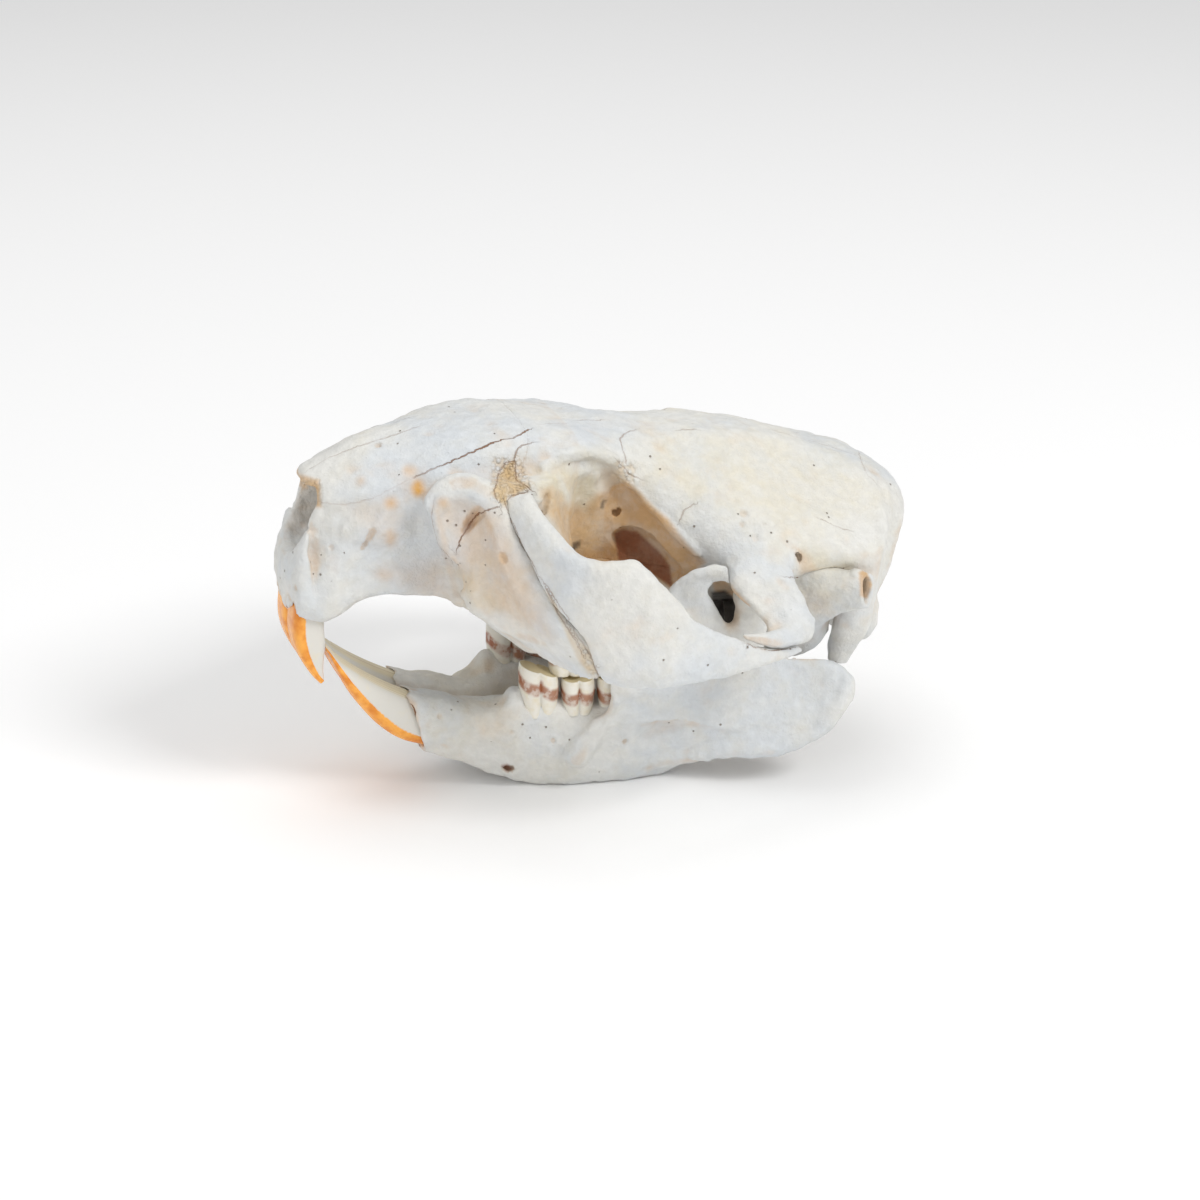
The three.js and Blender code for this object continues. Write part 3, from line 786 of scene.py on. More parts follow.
def seam_sides(points: np.ndarray, lines: tuple, clay: Clay, side_of: Side) -> tuple:
    """Signed distance of points to the nearest drawn line, and how dark that line is there.

    Args:
        points: (n, 3) points of the mesh.
        lines: SeamLine list.
        clay: the bone that the lines lie on.
        side_of: the side of the animal that the clay has.

    Returns:
        Distances in millimetres, positive on one side of the line, and darkness 0 to 1.
    """
    far, pad = 9.0, 3.0
    near = near_side(points)
    side = np.full(len(points), far)
    dark = np.zeros(len(points))
    for line in lines:
        trace = line.trace(clay, side_of)
        box = ((near > trace.min(0) - pad) & (near < trace.max(0) + pad)).all(1)
        index = np.nonzero(box)[0]
        p = near[index]
        best = np.full(len(p), far)
        sign = np.ones(len(p))
        for a, b in zip(trace[:-1], trace[1:]):
            off = from_line(p, a, b)[1]
            gone = np.linalg.norm(off, axis=1)
            closer = gone < best
            turn = np.cross(b - a, off) @ VIEW.back
            sign = np.where(closer, np.where(turn < 0, -1.0, 1.0), sign)
            best = np.where(closer, gone, best)
        wins = best < np.abs(side[index])
        side[index] = np.where(wins, sign * best, side[index])
        dark[index] = np.where(wins, line.strength * (1 - ease(best, 1.0, 2.2)), dark[index])
    return side, dark


# Meshes


def add_piece(
    name: str, skin: Skin, slot: Slot, nodes: list, material: bpy.types.Material
) -> bpy.types.Object:
    """A finished piece of the skull in the scene.

    Args:
        name: the piece's name.
        skin: its surface in drawing millimetres.
        slot: not used.
        nodes: CAD nodes that it stands for.
        material: its finish.

    Returns:
        The new object.
    """
    mesh = bpy.data.meshes.new(name)
    points = (skin.points + DRAW_SHIFT) * MM
    loops = np.concatenate([skin.quads.ravel(), skin.triangles.ravel()]).astype(np.int32)
    sizes = np.r_[np.full(len(skin.quads), 4), np.full(len(skin.triangles), 3)]
    mesh.vertices.add(len(points))
    mesh.vertices.foreach_set("co", points.astype(np.float32).ravel())
    mesh.loops.add(len(loops))
    mesh.loops.foreach_set("vertex_index", loops)
    mesh.polygons.add(len(sizes))
    mesh.polygons.foreach_set("loop_start", (np.cumsum(sizes) - sizes).astype(np.int32))
    mesh.update(calc_edges=True)
    mesh.validate()
    mesh.shade_smooth()
    mesh.materials.append(material)
    piece = bpy.data.objects.new(name, mesh)
    bpy.context.scene.collection.objects.link(piece)
    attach(piece, "root")
    if nodes:
        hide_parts(*nodes)
    return piece


def paint(piece: bpy.types.Object, **layers: np.ndarray) -> None:
    """Give a piece named layers, which its finish reads.

    Args:
        piece: the piece.
        layers: layer name to one number a point.
    """
    for name, values in layers.items():
        layer = piece.data.attributes.new(name, "FLOAT", "POINT")
        layer.data.foreach_set("value", np.asarray(values, np.float32))


def rolling(points: np.ndarray, size: float, seed: int, waves: int = 24) -> np.ndarray:
    """A gentle uneven field: the mean of sine waves that run in seeded directions, with
    wavelengths about size millimetres.

    Args:
        points: (n, 3) points in millimetres.
        size: the typical wavelength.
        seed: picks the waves.
        waves: how many waves.

    Returns:
        (n,) values about -1 to 1.
    """
    rng = np.random.default_rng(seed)
    way = rng.normal(size=(waves, 3))
    way /= np.linalg.norm(way, axis=1, keepdims=True)
    beat = 2 * math.pi / (size * rng.uniform(0.6, 1.6, waves))
    phase = rng.uniform(0, 2 * math.pi, waves)
    return np.sin(points @ (way * beat[:, None]).T + phase).mean(1) * math.sqrt(2 * waves) / 2


# Finishes

LAYERS = ("hollow", "cream", "tan", "rust", "umber", "ochre", "shade", "crumbly", "pitted")
LINES = ("seam_side", "seam_dark")


def linear(colour: str) -> tuple:
    """An sRGB hex colour turned linear.

    Args:
        colour: a hash sign and six hex digits.

    Returns:
        Red, green, blue and 1.
    """
    value = np.array([int(colour[i : i + 2], 16) for i in (1, 3, 5)]) / 255
    low = value / 12.92
    high = ((value + 0.055) / 1.055) ** 2.4
    return (*np.where(value <= 0.04045, low, high).tolist(), 1.0)


def add_node(
    tree: bpy.types.NodeTree,
    kind: str,
    links: dict | None = None,
    out: int | str = 0,
    **settings: object,
) -> bpy.types.NodeSocket | None:
    """Add a shader node.

    Args:
        tree: the material's node tree.
        kind: the node's type without its ShaderNode prefix.
        links: input name or number to a value or to another node's output.
        out: name or number of the output wanted.
        settings: the node's own properties.

    Returns:
        The wanted output of the new node, or None where it has no outputs.
    """
    node = tree.nodes.new("ShaderNode" + kind)
    for key, value in settings.items():
        setattr(node, key, value)
    for key, value in (links or {}).items():
        if isinstance(value, bpy.types.NodeSocket):
            tree.links.new(value, node.inputs[key])
        else:
            node.inputs[key].default_value = value
    return node.outputs[out] if len(node.outputs) else None


def empty_material(name: str) -> tuple:
    """A new material without nodes.

    Args:
        name: the finish it is for.

    Returns:
        The material, and add_node bound to its tree.
    """
    material = bpy.data.materials.new(name)
    material.use_nodes = True
    material.node_tree.nodes.clear()
    return material, partial(add_node, material.node_tree)


SOFT = {"interpolation_type": "SMOOTHSTEP"}
TIMES = {"operation": "MULTIPLY"}
PLUS = {"operation": "ADD"}
MINUS = {"operation": "SUBTRACT"}
BLEND = {"data_type": "RGBA", "out": 2}


@dataclass(frozen=True)
class BleachedBone:
    """Dry bone, cleaned and bleached: matt, off-white, finely porous.

    To the eye it is chalk-white and cool on the roof, cream where grease stayed, with hair-thin
    brown sutures and scattered pinholes. Painted shade darkens it: tan in hollows, on faces turned
    to the middle and on parts of the cheek plate and snout, brown and near-black in holes and deep
    gaps, grey-brown in the pinholes.
    Sizes are in millimetres: a slow cloud of tone, blots of grease, the wrinkles and the grain of
    the surface, crumbs of broken edges, and the spacing of pinholes.
    """

    name: str = "bleached_bone"
    white: str = "#dfded9"
    cool: str = "#d3d7da"
    cream: str = "#dbd0b2"
    # Tan of the bone's own stains, also used for painted shade in hollows and on the cheek plate.
    tan: str = "#cfa267"
    rust: str = "#d59a30"
    # Painted shade inside holes and in the deep hollow behind the jaw's blade.
    umber: str = "#87492a"
    ochre: str = "#d3b074"
    shade: str = "#241a14"
    line: str = "#8a5c38"
    # Painted shade inside the pinholes.
    pit: str = "#7e6d5a"
    cloud: float = 22.0
    blot: float = 5.0
    wrinkle: float = 1.7
    grain: float = 0.5
    crumb: float = 1.0
    pinholes: float = 1.5
    rough: float = 0.6

    def material(self) -> bpy.types.Material:
        """The finish as nodes, over the layers that dress_bone paints.

        Returns:
            The new material.
        """
        material, add = empty_material(self.name)
        place = add("TexCoord", out="Object")
        layer = {name: add("Attribute", out="Fac", attribute_name=name) for name in LAYERS + LINES}
        cloud, blot, wrinkle, grain = (
            add("TexNoise", {"Vector": place, "Scale": 1 / (size * MM), "Detail": detail,
                             "Roughness": 0.6})
            for size, detail in ((self.cloud, 3.0), (self.blot, 5.0), (self.wrinkle, 4.0),
                                 (self.grain, 3.0))
        )
        slow = add("MapRange", {0: cloud, 1: 0.38, 2: 0.66}, **SOFT)
        colour = add("Mix", {0: slow, 6: linear(self.white), 7: linear(self.cool)}, **BLEND)
        greasy = add("MapRange", {0: blot, 1: 0.42, 2: 0.72, 3: 0.0, 4: 0.16}, **SOFT)
        colour = add("Mix", {0: greasy, 6: colour, 7: linear(self.cream)}, **BLEND)
        # Layers over the tone: hollow is tan painted shade in concave places and on inner faces,
        # the layers for holes and gaps are brown and near-black painted shade, and tan is partly
        # painted shade; cream, ochre and rust are the bone's own colour.
        for name, low, tone in (("hollow", 0.4, self.tan), ("cream", 0.45, self.cream),
                                ("tan", 0.65, self.tan), ("ochre", 0.7, self.ochre),
                                ("rust", 0.7, self.rust), ("umber", 0.8, self.umber),
                                ("shade", 0.95, self.shade)):
            uneven = add("MapRange", {0: blot, 1: 0.3, 2: 0.66, 3: low, 4: 1.0}, **SOFT)
            share = add("Math", {0: layer[name], 1: uneven}, **TIMES)
            colour = add("Mix", {0: share, 6: colour, 7: linear(tone)}, **BLEND)
        streaky = add("MapRange", {0: wrinkle, 1: 0.35, 2: 0.7, 3: 0.95, 4: 1.02}, **SOFT)
        colour = add("Mix", {0: 1.0, 6: colour, 7: streaky}, blend_type="MULTIPLY", **BLEND)

        broken = add("TexVoronoi", {"Vector": place, "Scale": 1 / (self.crumb * MM)})
        crumbs = add("MapRange", {0: broken, 1: 0.2, 2: 0.75, 3: 0.0, 4: 1.0}, **SOFT)
        crumbs = add("Math", {0: crumbs, 1: layer["crumbly"]}, **TIMES)
        faint = add("Math", {0: crumbs, 1: 0.35}, **TIMES)
        colour = add("Mix", {0: faint, 6: colour, 7: linear(self.ochre)}, **BLEND)

        # Pinholes: a dip in the bump, darkened with painted shade.
        holes = {"Vector": place, "Scale": 1 / (self.pinholes * MM)}
        gone = add("TexVoronoi", holes)
        chance = add("SeparateColor", {0: add("TexVoronoi", holes, out="Color")})
        many = add("MapRange", {0: layer["pitted"], 1: 0.0, 2: 1.0, 3: 0.97, 4: 0.45})
        taken = add("Math", {0: chance, 1: many}, operation="GREATER_THAN")
        hole = add("MapRange", {0: gone, 1: 0.1, 2: 0.2, 3: 1.0, 4: 0.0}, **SOFT)
        hole = add("Math", {0: hole, 1: taken}, **TIMES)
        faint = add("Math", {0: hole, 1: 0.75}, **TIMES)
        colour = add("Mix", {0: faint, 6: colour, 7: linear(self.pit)}, **BLEND)

        sway = add("Math", {0: wrinkle, 1: 0.5}, **MINUS)
        sway = add("Math", {0: sway, 1: 1.1}, **TIMES)
        off = add("Math", {0: layer["seam_side"], 1: sway}, **PLUS)
        off = add("Math", {0: off}, operation="ABSOLUTE")
        stroke = add("MapRange", {0: off, 1: 0.05, 2: 0.24, 3: 1.0, 4: 0.0}, **SOFT)
        uneven = add("MapRange", {0: blot, 1: 0.35, 2: 0.6, 3: 0.45, 4: 1.0}, **SOFT)
        seam = add("Math", {0: stroke, 1: layer["seam_dark"]}, **TIMES)
        seam = add("Math", {0: seam, 1: uneven}, **TIMES)
        colour = add("Mix", {0: seam, 6: colour, 7: linear(self.line)}, **BLEND)

        height = add("Math", {0: wrinkle, 1: 1.1}, **TIMES)
        for value, weight in ((grain, 0.28), (seam, -0.9), (hole, -1.0), (crumbs, -1.1)):
            height = add("Math", {0: value, 1: weight, 2: height}, operation="MULTIPLY_ADD")
        bump = add("Bump", {"Height": height, "Strength": 0.9, "Distance": 0.4 * MM})
        rough = add("MapRange", {0: blot, 1: 0.3, 2: 0.7, 3: self.rough - 0.05,
                                 4: self.rough + 0.12}, **SOFT)
        links = {"Base Color": colour, "Roughness": rough, "Normal": bump}
        add("OutputMaterial", {"Surface": add("BsdfPrincipled", links)})
        return material


@dataclass(frozen=True)
class GnawingEnamel:
    """A gnawing tooth: iron-stained enamel in front over cream dentine behind and beside.

    To the eye the front is glossy orange with deeper streaks along the tooth and a sharp edge,
    and the rest is satin, off-white, faintly banded.
    """

    name: str = "gnawing_enamel"
    enamel: str = "#fbaf48"
    deep: str = "#e08420"
    dentine: str = "#dad7cf"
    worn: str = "#e2d7ba"
    stain: str = "#b08d60"
    streak: float = 2.6
    grain: float = 0.5

    def material(self) -> bpy.types.Material:
        """The finish as nodes; front, facet and band are the painted layers.

        Returns:
            The new material.
        """
        material, add = empty_material(self.name)
        place = add("TexCoord", out="Object")
        front, facet, band = (
            add("Attribute", out="Fac", attribute_name=name) for name in ("front", "facet", "band")
        )
        streak, grain = (
            add("TexNoise", {"Vector": place, "Scale": 1 / (size * MM), "Detail": 4.0})
            for size in (self.streak, self.grain)
        )
        bands = add("CombineXYZ", {0: band, 1: 0.0, 2: 0.0})
        bands = add("TexNoise", {"Vector": bands, "Scale": 9.0, "Detail": 3.0})
        share = add("MapRange", {0: bands, 1: 0.5, 2: 0.64, 3: 0.0, 4: 0.6}, **SOFT)
        worn = add("Mix", {0: share, 6: linear(self.worn), 7: linear(self.stain)}, **BLEND)
        share = add("MapRange", {0: streak, 1: 0.5, 2: 0.75, 3: 0.0, 4: 0.45}, **SOFT)
        side = add("Mix", {0: share, 6: linear(self.dentine), 7: linear(self.worn)}, **BLEND)
        side = add("Mix", {0: facet, 6: side, 7: worn}, **BLEND)
        share = add("MapRange", {0: streak, 1: 0.35, 2: 0.7}, **SOFT)
        orange = add("Mix", {0: share, 6: linear(self.enamel), 7: linear(self.deep)}, **BLEND)
        edge = add("Math", {0: grain, 1: 0.12, 2: front}, operation="MULTIPLY_ADD")
        share = add("MapRange", {0: edge, 1: 0.02, 2: 0.1}, **SOFT)
        colour = add("Mix", {0: share, 6: side, 7: orange}, **BLEND)
        height = add("Math", {0: streak, 1: 1.5, 2: grain}, operation="MULTIPLY_ADD")
        bump = add("Bump", {"Height": height, "Strength": 0.3, "Distance": 0.15 * MM})
        rough = add("MapRange", {0: share, 1: 0.0, 2: 1.0, 3: 0.5, 4: 0.27})
        links = {"Base Color": colour, "Roughness": rough, "Normal": bump}
        add("OutputMaterial", {"Surface": add("BsdfPrincipled", links)})
        return material


@dataclass(frozen=True)
class CheekEnamel:
    """A cheek tooth: white enamel columns, brown tartar low between them, a worn top.

    To the eye the columns shine a little, the necks carry burnt-brown rings, and the top is a
    cream hollow inside a white rim.
    """

    name: str = "cheek_tooth_enamel"
    enamel: str = "#e8e4d9"
    tartar: str = "#984b06"
    worn: str = "#dccda4"
    blot: float = 1.6
    grain: float = 0.4

    def material(self) -> bpy.types.Material:
        """The finish as nodes; the layers tartar and worn say where.

        Returns:
            The new material.
        """
        material, add = empty_material(self.name)
        place = add("TexCoord", out="Object")
        tartar, worn = (
            add("Attribute", out="Fac", attribute_name=name) for name in ("tartar", "worn")
        )
        blot, grain = (
            add("TexNoise", {"Vector": place, "Scale": 1 / (size * MM), "Detail": 4.0})
            for size in (self.blot, self.grain)
        )
        uneven = add("MapRange", {0: blot, 1: 0.35, 2: 0.55, 3: 0.45, 4: 1.0}, **SOFT)
        dirt = add("Math", {0: tartar, 1: uneven}, **TIMES)
        share = add("MapRange", {0: blot, 1: 0.4, 2: 0.8, 3: 0.0, 4: 0.5}, **SOFT)
        warm = add("Mix", {0: share, 6: linear(self.enamel), 7: linear(self.worn)}, **BLEND)
        colour = add("Mix", {0: dirt, 6: warm, 7: linear(self.tartar)}, **BLEND)
        colour = add("Mix", {0: worn, 6: colour, 7: linear(self.worn)}, **BLEND)
        bump = add("Bump", {"Height": grain, "Strength": 0.3, "Distance": 0.15 * MM})
        links = {"Base Color": colour, "Roughness": 0.32, "Normal": bump}
        add("OutputMaterial", {"Surface": add("BsdfPrincipled", links)})
        return material


@dataclass(frozen=True)
class StudioPaper:
    """The matt white paper the skull stands on, with the faint tooth of real paper."""

    name: str = "studio_paper"
    white: str = "#ffffff"
    grain: float = 1.2

    def material(self) -> bpy.types.Material:
        """The finish as nodes.

        Returns:
            The new material.
        """
        material, add = empty_material(self.name)
        place = add("TexCoord", out="Object")
        grain = add("TexNoise", {"Vector": place, "Scale": 1 / (self.grain * MM)})
        rough = add("MapRange", {0: grain, 1: 0.3, 2: 0.7, 3: 0.82, 4: 0.9})
        links = {"Base Color": linear(self.white), "Roughness": rough}
        add("OutputMaterial", {"Surface": add("BsdfPrincipled", links)})
        return material


def ready(finish: BleachedBone | GnawingEnamel | CheekEnamel) -> bpy.types.Material:
    """The finish's material, made when a piece first asks for it."""
    return bpy.data.materials.get(finish.name) or finish.material()


# What the photograph shows on the bones, in its own pixels

# Sutures of the cheek arch, which cross from one bone to the next
ARCH_FRONT = ((505, 503), (512, 522), (521, 542), (536, 570), (548, 592), (558, 612), (575, 640),
              (583, 655))
ARCH_SLANT = ((541, 578), (556, 600), (568, 618), (580, 640), (590, 655), (600, 678))
ARCH_BACK = ((735, 632), (742, 638), (750, 645), (765, 650), (780, 650), (792, 648))

SKULL_MARKS = (
    # Cheek plate: hollow under the brow, front ridge, brow ridge, notch and dent
    Press(((432, 505), (436, 525), (441, 545), (449, 563), (455, 582), (459, 600)), 2.4, -1.1),
    Press(((436, 501), (452, 490), (470, 487), (488, 497)), 3.8, -1.7),
    Press(((408, 512), (416, 535), (428, 560), (440, 585)), 5.0, 1.0),
    Hole(((480, 511), (471, 521), (464, 532)), (0.9, 0.6), 1.0, 0.6),
    Hole(((502, 556), (504, 562)), (0.6, 0.5), 0.8),
    # Snout: step under the nasal, furrow over the tooth root, rim of the nose opening
    Press(((326, 511), (345, 513), (370, 508), (396, 495), (416, 482)), 2.6, 0.55),
    Press(((322, 500), (345, 503), (370, 497), (398, 484)), 2.2, -0.35),
    Press(((378, 568), (400, 562), (425, 564), (445, 574)), 8.5, 2.2),
    Press(((352, 528), (378, 535), (402, 536)), 3.5, -0.7),
    Press(((300, 588), (330, 575), (370, 560)), 5.0, -0.5),
    Press(((318, 512), (314, 520), (311, 531), (304, 544), (294, 553)), 1.8, -0.5),
    Press(((330, 530), (345, 522), (365, 520)), 4.0, 0.5),
    Hole(((373, 532), (368, 540), (362, 550)), (0.8, 0.4), 0.8, 0.5),
    Hole(((379, 444), (378, 445)), (0.5, 0.5), 0.7),
    Hole(((331, 547), (331, 548)), (0.45, 0.45), 0.5, 0.3),
    Hole(((295, 587), (295, 588)), (0.45, 0.45), 0.5, 0.3),
    # Brow over the eye: crisp rim with a furrow under it, dome, knob behind, crease down the socket
    Press(((545, 469), (556, 459), (572, 454), (588, 452), (601, 454), (612, 460)), 1.8, -0.9),
    Press(((556, 466), (570, 461), (588, 459), (602, 462), (613, 469)), 2.4, 0.6),
    Press(((572, 480), (583, 480), (592, 484)), 8.0, -0.9),
    Press(((605, 505), (603, 520), (602, 545), (603, 560)), 2.4, 0.6),
    Press(((629, 481), (640, 493), (651, 507), (665, 520), (682, 538), (696, 552)), 1.5, -0.7),
    Press(((622, 490), (636, 506), (655, 525), (672, 545), (684, 560)), 3.0, 0.9),
    Hole(((619, 468), (628, 477), (634, 480)), (1.3, 1.5), 0.9, 0.7, True),
    # Deep hollow behind the jaw's blade, with the white knob at its front
    Hole(((625, 540), (640, 550), (652, 562), (660, 574)), (3.0, 4.4), 4.4, 0.5),
    Hole(((622, 531), (628, 532)), (1.3, 1.3), 0.9, 0.8, True),
    # Holes in the wall of the eye socket
    Hole(((604, 501), (602, 508)), (0.5, 0.7), 2.0),
    Hole(((612, 512), (617, 513)), (0.7, 1.1), 2.2),
    Hole(((580, 541), (573, 550)), (0.8, 1.3), 2.8, 0.5),
    Hole(((549, 497), (547, 502)), (0.8, 0.8), 1.4, 0.3),
    Hole(((545, 506), (543, 514)), (1.1, 0.8), 1.8),
    # Pinholes of the temple wall
    Hole(((743, 513), (744, 513)), (0.6, 0.6), 0.6),
    Hole(((742, 523), (742, 525)), (0.4, 0.4), 0.5, 0.3),
    Hole(((756, 536), (756, 538)), (0.4, 0.4), 0.5, 0.3),
    Hole(((764, 522), (765, 524)), (0.4, 0.4), 0.4, 0.3),
    # Temporal line, crest round the back of the head, hollows of the braincase
    Press(((700, 434), (730, 434), (765, 438), (800, 446), (832, 455)), 3.0, -0.4),
    Press(((868, 466), (880, 485), (884, 505), (882, 525)), 2.6, -0.6),
    Press(((858, 480), (868, 505), (868, 535)), 4.5, 0.7),
    Press(((780, 470), (820, 480), (840, 500)), 10.0, 0.6),
    Press(((730, 560), (760, 552), (785, 540)), 6.0, 0.5),
    # Squamosal: ridge along its rear edge, hollow over the ear tube, hole in the corner
    Press(((806, 546), (797, 556), (790, 568), (792, 584), (800, 600)), 2.0, -0.5),
    Press(((804, 558), (818, 563), (834, 562)), 3.0, 0.6),
    Hole(((799, 552), (800, 558)), (0.8, 1.0), 2.0, 0.3),
    Press(((762, 590), (775, 615), (782, 632)), 4.0, 0.5),
)

SKULL_LINES = (
    SeamLine(((413, 478), (440, 466), (460, 458), (480, 449), (490, 444), (502, 439), (512, 438),
              (520, 434), (528, 430)), 0.95),
    SeamLine(((322, 502), (345, 505), (370, 500), (398, 485), (412, 478)), 0.18),
    SeamLine(((532, 443), (524, 444), (518, 449), (514, 459)), 0.6),
    SeamLine(((514, 461), (503, 464), (498, 475), (496, 485), (493, 494), (497, 500)), 0.6),
    SeamLine(((515, 462), (515, 470), (516, 480), (523, 485), (531, 490)), 0.6),
    SeamLine(((508, 500), (512, 495), (520, 494), (528, 492)), 0.55),
    SeamLine(((529, 498), (536, 507), (541, 512)), 0.7),
    SeamLine(ARCH_FRONT, 0.45),
    SeamLine(ARCH_SLANT, 0.35),
    SeamLine(((497, 507), (485, 511), (478, 514), (470, 523), (464, 534), (460, 542),
              (458, 548)), 0.85),
    SeamLine(((433, 505), (431, 515), (434, 530), (438, 545), (446, 553), (452, 560)), 0.3),
    SeamLine(((312, 468), (330, 457), (350, 449), (379, 440), (400, 433), (418, 427)), 0.3),
    SeamLine(((545, 424), (566, 423)), 0.25),
    SeamLine(((580, 420), (600, 420)), 0.3),
    SeamLine(((626, 462), (623, 450), (620, 440), (624, 434), (635, 430)), 0.45),
    SeamLine(((618, 462), (624, 468), (630, 475), (638, 478)), 0.45),
    SeamLine(((682, 430), (694, 430)), 0.35),
    SeamLine(((775, 431), (785, 434), (800, 438), (830, 446), (855, 455)), 0.25),
    SeamLine(((858, 452), (862, 463), (868, 475), (875, 482)), 0.25),
    SeamLine(((681, 519), (684, 510), (690, 507), (694, 505)), 0.35),
    SeamLine(((822, 520), (832, 524), (842, 529), (848, 530)), 0.35),
    SeamLine(((790, 577), (800, 578), (818, 580), (828, 577), (834, 572), (842, 569)), 0.8),
    SeamLine(ARCH_BACK, 0.8),
)

SKULL_STAINS_AND_SHADE = {
    "cream": (
        Stain(((640, 430), (780, 440), (860, 460), (880, 500), (800, 540), (700, 520), (640, 480)),
              30, 0.4),
        Stain(((445, 570), (490, 560), (495, 605), (462, 605)), 14, 0.5),
        Stain(((800, 545), (850, 560), (850, 600), (810, 600)), 14, 0.6),
        Stain(((532, 470), (560, 462), (600, 478), (604, 566), (575, 556), (545, 515)), 10, 0.7),
        Stain(((580, 450), (614, 455), (622, 480), (600, 490)), 10, 0.5),
    ),
    "tan": (
        Stain(((612, 484), (626, 480), (640, 492), (652, 506), (668, 519), (690, 548), (706, 562),
               (672, 590), (640, 566), (600, 566), (602, 500)), 3.5, 0.85),
        Stain(((546, 508), (562, 503), (585, 508), (597, 494), (612, 486), (612, 568), (585, 564),
               (565, 545)), 8, 0.75),
        Stain(((540, 490), (552, 486), (566, 500), (556, 530), (546, 515)), 5, 0.5),
        Stain(((604, 470), (620, 470), (626, 500), (600, 505)), 9, 0.5),
        Stain(((345, 506), (372, 501), (400, 490), (404, 520), (396, 547), (378, 545),
               (362, 525)), 12, 0.2),
        Stain(((396, 478), (424, 468), (430, 490), (404, 505)), 9, 0.25),
        # Painted shade in the furrow under the snout.
        Stain(((380, 570), (440, 560), (462, 606), (420, 595)), 18, 0.3),
        Stain(((432, 505), (440, 505), (462, 600), (452, 598)), 5, 0.35),
        # Painted shade in the hollow of the cheek plate.
        Stain(((448, 510), (496, 512), (530, 580), (550, 636), (500, 612), (462, 590)), 16, 0.42),
        Stain(((712, 577), (723, 577), (750, 606), (742, 613), (733, 597), (714, 592)), 2, 0.8),
        Stain(((298, 474), (319, 480), (321, 507), (300, 508)), 3, 0.75),
        # Painted shade under the brow ridge of the cheek plate and in its deepest hollow.
        Stain(((436, 502), (460, 498), (476, 506), (468, 530), (444, 530)), 9, 0.3),
        Stain(((460, 520), (480, 506), (482, 522), (466, 545)), 5, 0.5),
        # Painted shade in the hollow over the ear tube and round its hole.
        Stain(((797, 549), (806, 552), (820, 572), (800, 576)), 5, 0.35),
    ),
    "rust": (
        Stain(spot(418, 488, 6, 8), 5, 1.0),
        Stain(spot(410, 471, 6, 5), 6, 0.6),
        Stain(spot(391, 503, 6, 5), 6, 0.6),
        Stain(spot(361, 481, 4, 4), 5, 0.35),
        Stain(spot(443, 502, 5, 4), 5, 0.5),
        Stain(spot(391, 538, 5, 7), 6, 0.45),
        Stain(spot(384, 575, 8, 4), 6, 0.3),
        Stain(spot(284, 531, 5, 5), 4, 0.8),
    ),
    # Painted shade in the deep hollow behind the jaw's blade and in the notch of the cheek plate.
    "umber": (
        Stain(((614, 533), (622, 529), (637, 531), (647, 540), (660, 552), (670, 566), (673, 588),
               (640, 566), (618, 560)), 2.0, 0.9),
        Stain(((472, 513), (480, 511), (474, 525), (463, 536), (466, 524)), 2.5, 0.35),
    ),
    "shade": (
        Stain(((711, 592), (725, 590), (744, 606), (745, 626), (722, 626), (712, 615)), 2.5, 0.95),
        Stain(((572, 543), (580, 540), (580, 547), (572, 551)), 1.5, 0.7),
        Stain(((602, 500), (606, 500), (603, 509), (600, 508)), 1.0, 0.6),
    ),
    "ochre": (
        Stain(((507, 507), (513, 522), (537, 568), (549, 590), (567, 620), (590, 655), (600, 680),
               (585, 660), (556, 612), (541, 582), (521, 543)), 1.6, 0.2),
        Stain(((498, 478), (505, 465), (514, 460), (516, 478), (530, 486), (520, 492), (508, 496),
               (505, 505), (497, 500), (493, 492)), 1.6, 0.7),
        Stain(((545, 590), (556, 604), (566, 626), (584, 655), (596, 676), (580, 664),
               (556, 612)), 2.0, 0.4),
    ),
    "crumbly": (
        Stain(((492, 458), (518, 456), (534, 486), (520, 496), (506, 508), (490, 500)), 3, 1.0),
        Stain(((575, 640), (592, 650), (604, 682), (588, 676)), 3, 0.8),
        Stain(((614, 460), (636, 464), (634, 484), (618, 482)), 3, 0.8),
        Stain(((300, 480), (320, 480), (322, 506), (302, 506)), 3, 0.8),
    ),
    "pitted": (
        Stain(((280, 560), (330, 530), (350, 560), (310, 605), (282, 600)), 10, 1.0),
        Stain(((436, 500), (480, 510), (500, 560), (500, 600), (460, 600), (444, 560)), 10, 0.6),
        Stain(((730, 500), (790, 500), (790, 550), (730, 550)), 20, 0.5),
    ),
}

ARCH_MARKS = (
    Press(((560, 585), (590, 610), (630, 625), (680, 632)), 9.0, 0.4),
    Press(((600, 668), (640, 675), (690, 665), (730, 650)), 2.4, -0.3),
)
ARCH_LINES = (SeamLine(ARCH_FRONT, 0.6), SeamLine(ARCH_SLANT, 0.5), SeamLine(ARCH_BACK, 0.9))
ARCH_STAINS = {
    "ochre": (
        Stain(((545, 590), (556, 604), (566, 626), (584, 655), (596, 676), (580, 664),
               (556, 612)), 2.0, 0.5),
    ),
}
EAR_MARKS = (
    Press(((798, 588), (815, 586), (830, 581)), 2.4, 0.9),
    Press(((802, 604), (818, 601), (834, 594)), 2.2, 0.8),
    Press(((812, 622), (828, 614), (840, 606)), 2.2, 0.6),
    Press(((800, 596), (818, 594), (834, 588)), 1.6, -0.5),
    Press(((857, 574), (862, 568), (868, 572), (871, 585), (866, 598)), 1.6, -0.5),
)
